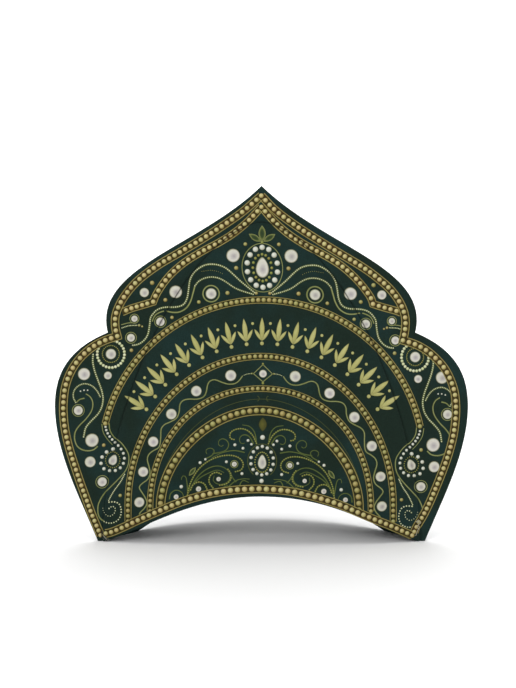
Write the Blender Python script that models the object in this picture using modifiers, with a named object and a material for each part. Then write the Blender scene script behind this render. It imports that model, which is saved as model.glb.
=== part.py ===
"""Sauna hat with a tall pointed front, in felt.

A flat-cut felt front panel with the outline of a festive crown stands on its two lower tips. A plain
felt back panel is sewn to it along an arch set in from the outline, so that the front's edge stands
free as a crest and the two panels hold a pocket for the head, open below.

Metres, +Z up, the front faces -Y, and the origin is under the middle of the bounding box.
"""

import math

import bmesh
import bpy
from mathutils import Matrix, Vector

MM = 0.001

# Felt
FRONT_THICK = 3.0 * MM
BACK_THICK = 2.5 * MM
SEAM_GAP = 0.4 * MM  # air between the sewn faces, so that they stay two solids

# Outline of the front panel: half widths and heights above the floor
APEX_HEIGHT = 310.5 * MM
APEX_PULL = (50.0 * MM, 261.8 * MM)  # where the hollow side under the point aims
SHOULDER_HALF = 133.5 * MM
SHOULDER_HEIGHT = 195.0 * MM
SHOULDER_REACH_UP = 48.0 * MM  # length of the curve's handle above the shoulder
SHOULDER_REACH_DOWN = 4.0 * MM
NOTCH_HALF = 132.2 * MM
NOTCH_HEIGHT = 184.5 * MM
NOTCH_PULL_UP = (133.0 * MM, 188.0 * MM)
NOTCH_PULL_DOWN = (169.0 * MM, 168.5 * MM)
WING_HALF = 180.0 * MM
WING_HEIGHT = 116.5 * MM
WING_REACH_UP = 28.6 * MM
WING_REACH_DOWN = 40.0 * MM
TIP_HALF = 143.4 * MM
TIP_PULL = (158.4 * MM, 36.8 * MM)
TIP_FOOT = 5.9 * MM  # the tip is pressed flat over this width where it rests
BROW_HEIGHT = 44.0 * MM  # top of the arch over the forehead
BROW_REACH = 59.6 * MM
BROW_PULL = (96.0 * MM, 16.4 * MM)
OUTLINE_STEPS = 14  # straight pieces along each curve of the outline

# Set of the front panel in depth
BOW = 15.0 * MM  # how far its middle stands in front of its tips
BOW_FADE = 0.5  # share of the bow that is gone at the apex
LEAN = 6.0 * MM  # how far the apex leans back
PUFF = 2.2 * MM  # how far the pocket pushes the felt forward of the crest
PUFF_SHARPNESS = 7.0
FRONT_CELL = 10.0 * MM  # size of the sheet's facets

# Seam that joins the panels: a rounded arch, half width and top height
SEAM_HALF = 137.0 * MM
SEAM_TOP = 276.0 * MM
SEAM_POWER = 1.65
SEAM_CORNER = math.radians(62.0)  # where the back sheet's side edge turns into its top edge

# Pocket of the back panel
POCKET_DEPTH = 77.0 * MM  # from the seam to the inside of the back, where it is deepest
POCKET_MOUTH_DEPTH = 75.0 * MM
POCKET_DEEPEST = 70.0 * MM  # height of the deepest place
POCKET_ROUND = (2.1, 0.9)  # powers of the pocket's plan; 2 and 1 are a parabola, 2 and 1/2 an ellipse
POCKET_TAPER = 0.8
REAR_RIM_DROP = 12.0 * MM  # the back's lower edge is cut this much lower than the front's arch
SEAM_ALLOWANCE = 5.0 * MM  # felt beyond the seam, flat on the front panel
BACK_COLUMNS = 30
BACK_ROWS = 18
SHEET_EDGE = 0.001  # share of a sheet that counts as its very edge
FLOOR_EXTRA = 2.0 * MM  # felt below the floor before the edge is pressed flat

FELT_GREEN = (0.012, 0.030, 0.024, 1.0)
FELT_BACK_GREEN = (0.014, 0.034, 0.026, 1.0)
FELT_ROUGHNESS = 0.9

WELD = 0.01 * MM
SHARP_FROM = math.radians(40.0)  # edges that turn by more than this are shaded sharp


def clear_scene():
    """Remove what the file opened with."""
    for item in list(bpy.data.objects):
        bpy.data.objects.remove(item)


def new_collection(name):
    """Make a collection under the scene."""
    group = bpy.data.collections.new(name)
    bpy.context.scene.collection.children.link(group)
    return group


def felt_material(name, colour):
    """A matt felt in one colour."""
    material = bpy.data.materials.new(name)
    material.use_nodes = True
    shader = material.node_tree.nodes["Principled BSDF"]
    shader.inputs["Base Color"].default_value = colour
    shader.inputs["Roughness"].default_value = FELT_ROUGHNESS
    shader.inputs["Metallic"].default_value = 0.0
    return material


def mesh_object(name, shape, group):
    """Turn a bmesh into an object of a collection."""
    mesh = bpy.data.meshes.new(name)
    shape.to_mesh(mesh)
    shape.free()
    item = bpy.data.objects.new(name, mesh)
    group.objects.link(item)
    return item


def seam_half_width(height):
    """Half width of the seam's arch at a height."""
    share = min(max(height / SEAM_TOP, 0.0), 1.0)
    return SEAM_HALF * (1.0 - share**SEAM_POWER) ** (1.0 / SEAM_POWER)


def seam_point(turn):
    """Point of the seam's arch in the plane of the front, from the right foot (0) to the left (pi)."""
    across = math.cos(turn)
    x = math.copysign(SEAM_HALF * abs(across) ** (2.0 / SEAM_POWER), across)
    z = SEAM_TOP * max(math.sin(turn), 0.0) ** (2.0 / SEAM_POWER)
    return Vector((x, z))


def seam_outward(turn):
    """Direction in the plane of the front that leads straight out of the seam's arch."""
    step = 0.01
    along = seam_point(min(turn + step, math.pi)) - seam_point(max(turn - step, 0.0))
    return Vector((along.y, -along.x)).normalized()


def puff(x, z):
    """Share of the pocket's forward push at a place: 1 inside the seam's arch, 0 outside."""
    share = (abs(x) / SEAM_HALF) ** SEAM_POWER + (max(z, 0.0) / SEAM_TOP) ** SEAM_POWER
    return 1.0 / (1.0 + share**PUFF_SHARPNESS)


def front_depth(x, z):
    """Depth of the front panel's face at a place, before the whole hat is centred."""
    rise = z / APEX_HEIGHT
    bow = BOW * ((x / TIP_HALF) ** 2 - 1.0) * (1.0 - BOW_FADE * rise * rise)
    return bow + LEAN * rise * rise - PUFF * puff(x, z)


def behind_front(x, z):
    """Depth at which the back panel lies against the front panel."""
    return front_depth(x, z) + FRONT_THICK + SEAM_GAP


def brow_height(x):
    """Height of the front's lower edge over the forehead at a place, from the edge's own curve."""
    start = Vector((0.0, BROW_HEIGHT))
    end = Vector((TIP_HALF - TIP_FOOT, 0.0))
    pull_start = Vector((BROW_REACH, BROW_HEIGHT))
    pull_end = Vector(BROW_PULL)
    low, high = 0.0, 1.0
    for _ in range(30):
        t = (low + high) / 2
        s = 1.0 - t
        here = (
            start * s**3 + pull_start * 3 * s * s * t + pull_end * 3 * s * t * t + end * t**3
        )
        if here.x < abs(x):
            low = t
        else:
            high = t
    return here.y


def outline_anchors():
    """Right half of the front's outline from apex to brow: (handle before, point, handle after)."""
    wing_up = (WING_HALF, WING_HEIGHT + WING_REACH_UP)
    wing_down = (WING_HALF, WING_HEIGHT - WING_REACH_DOWN)
    shoulder_up = (SHOULDER_HALF, SHOULDER_HEIGHT + SHOULDER_REACH_UP)
    shoulder_down = (SHOULDER_HALF, SHOULDER_HEIGHT - SHOULDER_REACH_DOWN)
    foot = (TIP_HALF - TIP_FOOT, 0.0)
    tip = (TIP_HALF, 0.0)
    mirrored_apex_pull = (-APEX_PULL[0], APEX_PULL[1])
    return [
        (mirrored_apex_pull, (0.0, APEX_HEIGHT), APEX_PULL),
        (shoulder_up, (SHOULDER_HALF, SHOULDER_HEIGHT), shoulder_down),
        (NOTCH_PULL_UP, (NOTCH_HALF, NOTCH_HEIGHT), NOTCH_PULL_DOWN),
        (wing_up, (WING_HALF, WING_HEIGHT), wing_down),
        (TIP_PULL, tip, tip),
        (foot, foot, BROW_PULL),
        ((BROW_REACH, BROW_HEIGHT), (0.0, BROW_HEIGHT), (-BROW_REACH, BROW_HEIGHT)),
    ]


def outline_block(group):
    """Solid with the front's outline, deep enough to cut the felt sheet through."""
    right = outline_anchors()
    left = [
        tuple((-x, z) for x, z in reversed(anchor)) for anchor in reversed(right[1:-1])
    ]
    anchors = right + left
    curve = bpy.data.curves.new("front_outline", "CURVE")
    curve.dimensions = "2D"
    curve.fill_mode = "BOTH"
    curve.extrude = 2.0 * (BOW + LEAN)
    curve.resolution_u = OUTLINE_STEPS
    spline = curve.splines.new("BEZIER")
    spline.bezier_points.add(len(anchors) - 1)
    spline.use_cyclic_u = True
    for point, (before, here, after) in zip(spline.bezier_points, anchors):
        point.handle_left_type = "FREE"
        point.handle_right_type = "FREE"
        point.co = (*here, 0.0)
        point.handle_left = (*before, 0.0)
        point.handle_right = (*after, 0.0)
    drawn = bpy.data.objects.new("front_outline", curve)
    drawn.rotation_euler.x = math.radians(90.0)
    group.objects.link(drawn)
    bpy.context.view_layer.update()
    ready = drawn.evaluated_get(bpy.context.evaluated_depsgraph_get())
    mesh = bpy.data.meshes.new_from_object(ready)
    shape = bmesh.new()
    shape.from_mesh(mesh)
    bmesh.ops.remove_doubles(shape, verts=shape.verts, dist=WELD)
    bmesh.ops.recalc_face_normals(shape, faces=shape.faces)
    shape.transform(drawn.matrix_world)
    bpy.data.objects.remove(drawn)
    block = mesh_object("outline_block", shape, group)
    block.display_type = "WIRE"
    block.hide_render = True
    return block


def thicken(item, thickness):
    """Give an open sheet its felt thickness behind the modelled face."""
    solid = item.modifiers.new("felt", "SOLIDIFY")
    solid.thickness = thickness
    solid.offset = -1.0
    solid.use_even_offset = True
    solid.use_quality_normals = True


def cut(item, block, operation):
    """Join or cut an object with a block by an exact Boolean."""
    boolean = item.modifiers.new("cut", "BOOLEAN")
    boolean.operation = operation
    boolean.solver = "EXACT"
    boolean.object = block


def finish_felt(item, material):
    """Shade and colour a felt piece."""
    item.data.materials.append(material)
    item.data.shade_smooth()
    item.data.set_sharp_from_angle(angle=SHARP_FROM)


def front_panel(group, cutters):
    """Felt front: a bowed sheet cut to the outline."""
    margin = FRONT_CELL
    width = 2.0 * (WING_HALF + margin)
    height = APEX_HEIGHT + 2.0 * margin
    shape = bmesh.new()
    bmesh.ops.create_grid(
        shape,
        x_segments=round(width / FRONT_CELL),
        y_segments=round(height / FRONT_CELL),
        size=0.5,
    )
    for vert in shape.verts:
        x = vert.co.x * width
        z = (vert.co.y + 0.5) * height - margin
        vert.co = (x, front_depth(x, z), z)
    item = mesh_object("front_panel", shape, group)
    thicken(item, FRONT_THICK)
    cut(item, outline_block(cutters), "INTERSECT")
    finish_felt(item, felt_material("front_felt", FELT_GREEN))
    return item


def pocket_depth(x, z):
    """How far the inside of the back stands behind the seam at a place in the plane of the front."""
    if z < POCKET_DEEPEST:
        sink = (POCKET_DEEPEST - z) / POCKET_DEEPEST
        deepest = POCKET_DEPTH - (POCKET_DEPTH - POCKET_MOUTH_DEPTH) * sink * sink
    else:
        rise = min((z - POCKET_DEEPEST) / (SEAM_TOP - POCKET_DEEPEST), 1.0)
        deepest = POCKET_DEPTH * (1.0 - rise * rise) ** POCKET_TAPER
    share = min(abs(x) / max(seam_half_width(z), WELD), 1.0)
    return deepest * (1.0 - share ** POCKET_ROUND[0]) ** POCKET_ROUND[1]


def rear_rim_height(x, lowest):
    """Height of the back's lower edge at a place, no lower than a given height."""
    return max(brow_height(x) - REAR_RIM_DROP, lowest)


def rear_rim_point(across):
    """Point of the back's lower edge in the plane of the front, across from -1 to 1."""
    x = SEAM_HALF * across
    return Vector((x, rear_rim_height(x, 0.0)))


def crown_point(across):
    """Point of the back's top edge, which is the top stretch of the seam's arch."""
    turn = math.pi / 2 - across * (math.pi / 2 - SEAM_CORNER)
    return seam_point(turn)


def back_sheet_point(across, up):
    """Place in the plane of the front of a point of the back sheet, across -1 to 1 and up 0 to 1."""
    u = (across + 1.0) / 2.0
    low, high = rear_rim_point(across), crown_point(across)
    left, right = seam_point(math.pi - SEAM_CORNER * up), seam_point(SEAM_CORNER * up)
    corners = (
        rear_rim_point(-1.0) * (1.0 - u) * (1.0 - up)
        + rear_rim_point(1.0) * u * (1.0 - up)
        + crown_point(-1.0) * (1.0 - u) * up
        + crown_point(1.0) * u * up
    )
    return low * (1.0 - up) + high * up + left * (1.0 - u) + right * u - corners


def sew_flat_edge(shape, verts_on_seam):
    """Fold the sheet's edge out along the seam into a flat allowance."""
    on_seam = set(verts_on_seam)
    edges = [
        edge
        for edge in shape.edges
        if edge.is_boundary and edge.verts[0] in on_seam and edge.verts[1] in on_seam
    ]
    made = bmesh.ops.extrude_edge_only(shape, edges=edges)["geom"]
    for vert in (part for part in made if isinstance(part, bmesh.types.BMVert)):
        flat = Vector((vert.co.x, max(vert.co.z, 0.0)))
        turn = math.atan2(
            (flat.y / SEAM_TOP) ** (SEAM_POWER / 2.0),
            math.copysign((abs(flat.x) / SEAM_HALF) ** (SEAM_POWER / 2.0), flat.x),
        )
        out = seam_outward(turn) * SEAM_ALLOWANCE
        x, z = vert.co.x + out.x, vert.co.z + out.y
        vert.co = (x, behind_front(x, z), z)


def floor_block(group):
    """Block under the floor that presses the lower edge of the felt flat."""
    bpy.ops.mesh.primitive_cube_add(size=1.0)
    block = bpy.context.object
    block.name = "floor_block"
    depth = 20.0 * MM
    block.dimensions = (3.0 * WING_HALF, 3.0 * WING_HALF, depth)
    block.location = (0.0, 0.0, -depth / 2)
    for owner in list(block.users_collection):
        owner.objects.unlink(block)
    group.objects.link(block)
    block.display_type = "WIRE"
    block.hide_render = True
    return block


def back_panel(group, cutters):
    """Felt back: a pocket for the head, sewn to the front along the arch."""
    shape = bmesh.new()
    bmesh.ops.create_grid(shape, x_segments=BACK_COLUMNS, y_segments=BACK_ROWS, size=1.0)
    on_seam = []
    for vert in shape.verts:
        side, row = vert.co.x, (vert.co.y + 1.0) / 2.0
        if max(abs(side), row) > 1.0 - SHEET_EDGE:
            on_seam.append(vert)
        across = math.sin(side * math.pi / 2)
        up = math.sin(row * math.pi / 2)
        flat = back_sheet_point(across, up)
        x, z = flat.x, flat.y
        depth = behind_front(math.copysign(seam_half_width(z), x), z)
        if vert not in on_seam:
            depth += pocket_depth(x, z)
        if row < SHEET_EDGE:
            z = rear_rim_height(x, -FLOOR_EXTRA)
        vert.co = (x, depth, z)
    sew_flat_edge(shape, on_seam)
    item = mesh_object("back_panel", shape, group)
    thicken(item, BACK_THICK)
    cut(item, floor_block(cutters), "DIFFERENCE")
    finish_felt(item, felt_material("back_felt", FELT_BACK_GREEN))
    return item


def centre_in_depth(items):
    """Put the origin under the middle of the hat's bounding box."""
    bpy.context.view_layer.update()
    graph = bpy.context.evaluated_depsgraph_get()
    depths = [
        (ready.matrix_world @ Vector(corner)).y
        for ready in (item.evaluated_get(graph) for item in items)
        for corner in ready.bound_box
    ]
    shift = Matrix.Translation((0.0, -(min(depths) + max(depths)) / 2, 0.0))
    for item in bpy.context.scene.objects:
        item.data.transform(shift @ item.matrix_world)
        item.matrix_world = Matrix.Identity(4)


def main():
    """Build the hat."""
    clear_scene()
    hat = new_collection("sauna_hat")
    cutters = new_collection("cutters")
    items = [front_panel(hat, cutters), back_panel(hat, cutters)]
    centre_in_depth(items)


main()
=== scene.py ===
"""Looks of a felt sauna hat with a tall lobed front, printed all over with gold beads and pearls.

The front's face is worked out as flat shapes in a plane, x across and z up, which are then laid on
the curved face of the panel. Sizes are in millimetres where a name or a table says so, and
otherwise in metres.
"""

import logging
import math
from dataclasses import dataclass
from enum import Enum
from typing import ClassVar

import bmesh
import bpy
from mathutils import Euler, Matrix, Vector
from mathutils.bvhtree import BVHTree
from mathutils.geometry import interpolate_bezier, intersect_line_line_2d
from mathutils.noise import noise


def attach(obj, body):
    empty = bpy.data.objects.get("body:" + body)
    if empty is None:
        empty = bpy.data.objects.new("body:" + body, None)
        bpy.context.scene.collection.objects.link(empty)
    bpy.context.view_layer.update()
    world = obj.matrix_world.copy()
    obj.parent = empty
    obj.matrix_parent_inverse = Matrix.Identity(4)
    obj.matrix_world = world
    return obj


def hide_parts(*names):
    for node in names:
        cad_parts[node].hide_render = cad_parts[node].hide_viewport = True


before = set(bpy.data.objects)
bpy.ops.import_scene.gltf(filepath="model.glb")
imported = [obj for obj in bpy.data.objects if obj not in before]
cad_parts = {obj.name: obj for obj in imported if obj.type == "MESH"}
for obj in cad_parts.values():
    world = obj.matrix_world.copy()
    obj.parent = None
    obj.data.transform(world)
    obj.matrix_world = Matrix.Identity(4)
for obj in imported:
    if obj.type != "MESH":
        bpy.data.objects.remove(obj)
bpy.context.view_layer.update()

BODY = "root"
MM = 0.001
LOG = logging.getLogger("sauna_hat")
# Half width and height of the stitched line and of the line along which the pocket leaves the front.
SEAM_SIZE = (139.3 * MM, 280 * MM)
POCKET_SIZE = (137 * MM, 276 * MM)
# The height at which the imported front's depth is probed.
PROBE_HEIGHT = 0.15
# How far lines that meet in a corner are first lengthened, and how long an arc's facets are in mm.
MITRE_REACH = 30 * MM
ARC_CELL = 1.2
# How far apart, in shares of a line, the places lie between which its heading is taken.
HEADING_GAP = 0.004
WHOLE_TURN = (0.0, 360.0)
# Where the front's and the back's soft waves are read in the noise.
FRONT_ROW, BACK_ROW = 0.3, 0.7
# How close to its border, in shares of the sheet, a point counts as on it.
NEAR_EDGE = 0.001
# Edges that turn by more than this many degrees are shaded sharp.
PRINT_SHARP, FELT_SHARP = 25, 60
BLACK, WHITE = (0.0, 0.0, 0.0, 1.0), (1.0, 1.0, 1.0, 1.0)
# The colour of the painted shade along the seam's groove, and the tint of the felt's sheen.
GROOVE_SHADE_TONE, FUZZ_TONE = (10, 18, 14), (150, 178, 168)

Pair = tuple[float, float]
Places = tuple[Pair, ...]
Tone = tuple[int, int, int]
Colour = tuple[float, float, float, float]


def srgb(red: int, green: int, blue: int) -> Colour:
    """Turn a screen colour into the linear colour that a shader takes.

    Args:
        red: Red, from 0 to 255.
        green: Green, from 0 to 255.
        blue: Blue, from 0 to 255.

    Returns:
        The linear colour with full alpha.
    """
    linear = []
    for value in (red / 255, green / 255, blue / 255):
        linear.append(value / 12.92 if value <= 0.04045 else ((value + 0.055) / 1.055) ** 2.4)
    return (*linear, 1.0)


def left_of(heading: Vector) -> Vector:
    """Return the direction to the left of a heading in the plane of the front."""
    return Vector((-heading.y, heading.x))


def show(name: str, data: bpy.types.ID) -> bpy.types.Object:
    """Add an object to the scene.

    Args:
        name: Its name.
        data: The mesh, curve, light or camera that it holds.

    Returns:
        The object.
    """
    made = bpy.data.objects.new(name, data)
    bpy.context.scene.collection.objects.link(made)
    return made


def mesh_from(name: str, shape: bmesh.types.BMesh) -> bpy.types.Mesh:
    """Turn a bmesh into a mesh.

    Args:
        name: The mesh's name.
        shape: The bmesh, freed here.

    Returns:
        The mesh.
    """
    mesh = bpy.data.meshes.new(name)
    shape.to_mesh(mesh)
    shape.free()
    return mesh


def settled(thing: bpy.types.Object) -> bmesh.types.BMesh:
    """Turn an object with live modifiers or a round curve into a plain shape.

    Args:
        thing: The object, removed here.

    Returns:
        Its final shape.
    """
    bpy.context.view_layer.update()
    ready = thing.evaluated_get(bpy.context.evaluated_depsgraph_get())
    shape = bmesh.new()
    shape.from_mesh(ready.to_mesh())
    bpy.data.objects.remove(thing)
    return shape


def of_kind(parts: list, kind: type) -> list:
    """Return those parts of a bmesh that are of a kind, such as its vertices."""
    return [part for part in parts if isinstance(part, kind)]


class Form(Enum):
    """Outlines that a printed blot may have."""

    ROUND = "round"
    DROP = "drop"
    LEAF = "leaf"


class Layer(Enum):
    """How far each layer of the print stands out of the felt, in millimetres."""

    FIELD_LINE = 0.06
    FIELD_BEAD = 0.09
    ARCH_BAND = 0.11
    ARCH_LINE = 0.13
    ARCH_BEAD = 0.16
    BORDER_BAND = 0.19
    BORDER_LINE = 0.21
    BORDER_BEAD = 0.24


@dataclass(frozen=True)
class Path:
    """A line in the plane of the front, drawn by points close together.

    Attributes:
        points: The points, each (x, z) in metres.
        closed: Whether the last point leads back to the first.
    """

    points: tuple[Vector, ...]
    closed: bool = False

    @classmethod
    def through(cls, places: Places, steps: int = 8) -> "Path":
        """Draw a smooth line through given places.

        Args:
            places: The places, each (x, z) in millimetres.
            steps: Points on each stretch between two places.

        Returns:
            The line.
        """
        knots = [Vector(place) * MM for place in places]
        ends = [knots[0] * 2 - knots[1], *knots, knots[-1] * 2 - knots[-2]]
        points: list[Vector] = []
        for before, start, stop, after in zip(ends, ends[1:], ends[2:], ends[3:]):
            reach = (stop - start).length / 3
            lead = (stop - before).normalized() * reach
            trail = (after - start).normalized() * reach
            points += interpolate_bezier(start, start + lead, stop - trail, stop, steps + 1)[:-1]
        return cls((*(point.to_2d() for point in points), knots[-1]))

    @classmethod
    def curves(cls, curves: tuple[Places, ...], steps: int = 30) -> "Path":
        """Join cubic curves end to end.

        Args:
            curves: For each curve its start, two handles and end, each (x, z) in millimetres.
            steps: Points on each curve.

        Returns:
            The line.
        """
        points: list[Vector] = []
        for curve in curves:
            points += interpolate_bezier(*(Vector(place) * MM for place in curve), steps + 1)[:-1]
        return cls((*(point.to_2d() for point in points), Vector(curves[-1][-1]) * MM))

    @classmethod
    def arc(cls, centre: Pair, radii: Pair, turns: Pair) -> "Path":
        """Draw part of an ellipse.

        Args:
            centre: Its middle, (x, z) in millimetres.
            radii: Its half width and half height, in millimetres.
            turns: Where it starts and ends, in degrees up from +X.

        Returns:
            The line, closed if it is a full turn.
        """
        span = turns[1] - turns[0]
        closed = abs(span) >= 360
        count = max(8, round(abs(math.radians(span)) * max(radii) / ARC_CELL))
        points = []
        for step in range(count if closed else count + 1):
            turn = math.radians(turns[0] + span * step / count)
            place = (centre[0] + radii[0] * math.cos(turn), centre[1] + radii[1] * math.sin(turn))
            points.append(Vector(place) * MM)
        return cls(tuple(points), closed)

    def corners(self) -> list[Vector]:
        """Return its points, with the first one again at the end of a closed line."""
        return [*self.points, self.points[0]] if self.closed else list(self.points)

    def marks(self) -> list[float]:
        """Return the distance along the line at each point, and at the close of a closed line."""
        corners = self.corners()
        marks = [0.0]
        for here, there in zip(corners, corners[1:]):
            marks.append(marks[-1] + (there - here).length)
        return marks

    def length(self) -> float:
        """Return the line's length in metres."""
        return self.marks()[-1]

    def at(self, share: float) -> tuple[Vector, Vector]:
        """Find a place on the line.

        Args:
            share: How far along it is, from 0 to 1.

        Returns:
            The place and the direction of the line there.
        """
        marks, corners = self.marks(), self.corners()
        goal = min(max(share, 0.0), 1.0) * marks[-1]
        low, high = 0, len(corners) - 2
        while low < high:
            middle = (low + high + 1) // 2
            if marks[middle] <= goal:
                low = middle
            else:
                high = middle - 1
        step = corners[low + 1] - corners[low]
        part = (goal - marks[low]) / max(step.length, 1e-9)
        return corners[low].lerp(corners[low + 1], part), step.normalized()

    def spots(
        self, pitch: float, last_pitch: float | None = None, ends: Pair = (0.0, 0.0)
    ) -> list[tuple[Vector, Vector, float]]:
        """Share places out along the line.

        Args:
            pitch: The distance between places at the start, in millimetres.
            last_pitch: That distance at the end, or None where it stays the same.
            ends: Bare length left at the start and at the end, in millimetres.

        Returns:
            For each place itself, the line's direction there, and how far along it is.
        """
        whole = self.length() / MM
        start, stop = ends[0] / whole, 1.0 - ends[1] / whole
        last = pitch if last_pitch is None else last_pitch
        count = max(1, round((stop - start) * whole / ((pitch + last) / 2)))
        found = []
        for index in range(count if self.closed else count + 1):
            even = index / count
            share = even * (2 * pitch + (last - pitch) * even) / (pitch + last)
            place, heading = self.at(start + (stop - start) * share)
            found.append((place, heading, share))
        return found

    def normals(self) -> list[Vector]:
        """Return the direction to the left of the line at each of its points."""
        first, last = (-1, 0) if self.closed else (0, -1)
        before = [self.points[first], *self.points[:-1]]
        after = [*self.points[1:], self.points[last]]
        return [left_of((there - here).normalized()) for here, there in zip(before, after)]

    def beside(self, off: float) -> "Path":
        """Return a line a distance in metres to the left of this one."""
        points = (point + side * off for point, side in zip(self.points, self.normals()))
        return Path(tuple(points), self.closed)

    def mirrored(self) -> "Path":
        """Return the line's mirror image about the middle of the front."""
        return Path(tuple(Vector((-point.x, point.y)) for point in self.points), self.closed)

    def reversed(self) -> "Path":
        """Return the line drawn from its other end."""
        return Path(tuple(reversed(self.points)), self.closed)

    def then(self, other: "Path") -> "Path":
        """Return this line carried on by another."""
        return Path((*self.points, *other.points))


def mitred(first: Path, second: Path) -> tuple[Path, Path]:
    """Trim or lengthen two lines so that the first ends where the second starts.

    Args:
        first: The line that leads to the corner.
        second: The line that leads away from it.

    Returns:
        Both lines, meeting in the corner.
    """
    out = (first.points[-1] - first.points[-2]).normalized() * MITRE_REACH
    back = (second.points[0] - second.points[1]).normalized() * MITRE_REACH
    one = [*first.points, first.points[-1] + out]
    two = [second.points[0] + back, *second.points]
    for i in range(len(one) - 1, 0, -1):
        for j in range(len(two) - 1):
            corner = intersect_line_line_2d(one[i - 1], one[i], two[j], two[j + 1])
            if corner is not None:
                return Path((*one[:i], corner)), Path((corner, *two[j + 1:]))
    return first, second


@dataclass(frozen=True)
class SeamArch:
    """The rounded arch along which the panels are sewn.

    Attributes:
        half: Its half width at the floor, in metres.
        top: Its height, in metres.
        power: The power of its outline; 2 would be an ellipse.
    """

    half: float
    top: float
    power: float = 1.65

    def point(self, turn: float) -> Vector:
        """Find a point of the arch.

        Args:
            turn: Where it is, from 0 at the right foot to pi at the left one.

        Returns:
            The point.
        """
        across = math.cos(turn)
        x = math.copysign(self.half * abs(across) ** (2 / self.power), across)
        return Vector((x, self.top * max(math.sin(turn), 0.0) ** (2 / self.power)))

    def outward(self, turn: float) -> Vector:
        """Find the direction that leads straight out of the arch.

        Args:
            turn: Where on the arch, from 0 at the right foot to pi at the left one.

        Returns:
            The direction.
        """
        step = 0.01
        along = self.point(min(turn + step, math.pi)) - self.point(max(turn - step, 0.0))
        return Vector((along.y, -along.x)).normalized()

    def half_width(self, height: float) -> float:
        """Return its half width at a height."""
        share = min(max(height / self.top, 0.0), 1.0)
        return self.half * (1 - share**self.power) ** (1 / self.power)

    def share(self, x: float, z: float) -> float:
        """Return 0 in the middle of the arch, 1 on it and more outside it."""
        return (abs(x) / self.half) ** self.power + (max(z, 0.0) / self.top) ** self.power

    def distance(self, x: float, z: float) -> float:
        """Tell how far outside the arch a place lies.

        Args:
            x: The place, across.
            z: The place, up.

        Returns:
            The distance in metres, below 0 inside; good near the arch.
        """
        across = self.power / self.half * (abs(x) / self.half) ** (self.power - 1)
        up = self.power / self.top * (max(z, 0.0) / self.top) ** (self.power - 1)
        return (self.share(x, z) - 1) / max(math.hypot(across, up), 1.0)

    def path(self, count: int = 240) -> Path:
        """Return the arch as a line from the left foot to the right one."""
        return Path(tuple(self.point(math.pi * (1 - step / count)) for step in range(count + 1)))


@dataclass(frozen=True)
class Outline:
    """The cut outline of the front panel, worked out from its main sizes (millimetres)."""

    ogee: Places = ((0, 310.5), (50, 261.8), (133.5, 243), (133.5, 195))
    shoulder: Places = ((133.5, 195), (133.5, 191), (133, 188), (132.2, 184.5))
    wing: Places = ((132.2, 184.5), (169, 168.5), (180, 145.1), (180, 116.5))
    flank: Places = ((180, 116.5), (180, 76.5), (158.4, 36.8), (143.4, 0))
    brow: Places = ((137.5, 0), (96, 16.4), (59.6, 44), (0, 44))

    def side(self) -> Path:
        """Return the right half, from the apex to the tip."""
        return Path.curves((self.ogee, self.shoulder, self.wing, self.flank))

    def ring(self) -> Path:
        """Return the whole outline, closed."""
        right = self.side().then(Path.curves((self.brow,)))
        left = right.mirrored().reversed()
        return Path((*right.points[:-1], *left.points[:-1]), closed=True)

    def brow_height(self, x: float) -> float:
        """Tell how high the lower edge is.

        Args:
            x: The distance from the middle, in metres.

        Returns:
            The height in metres.
        """
        points = Path.curves((self.brow,), 60).points
        for outer, inner in zip(points, points[1:]):
            if inner.x <= abs(x) <= outer.x:
                share = (abs(x) - inner.x) / max(outer.x - inner.x, 1e-9)
                return inner.y + (outer.y - inner.y) * share
        return 0.0


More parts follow.
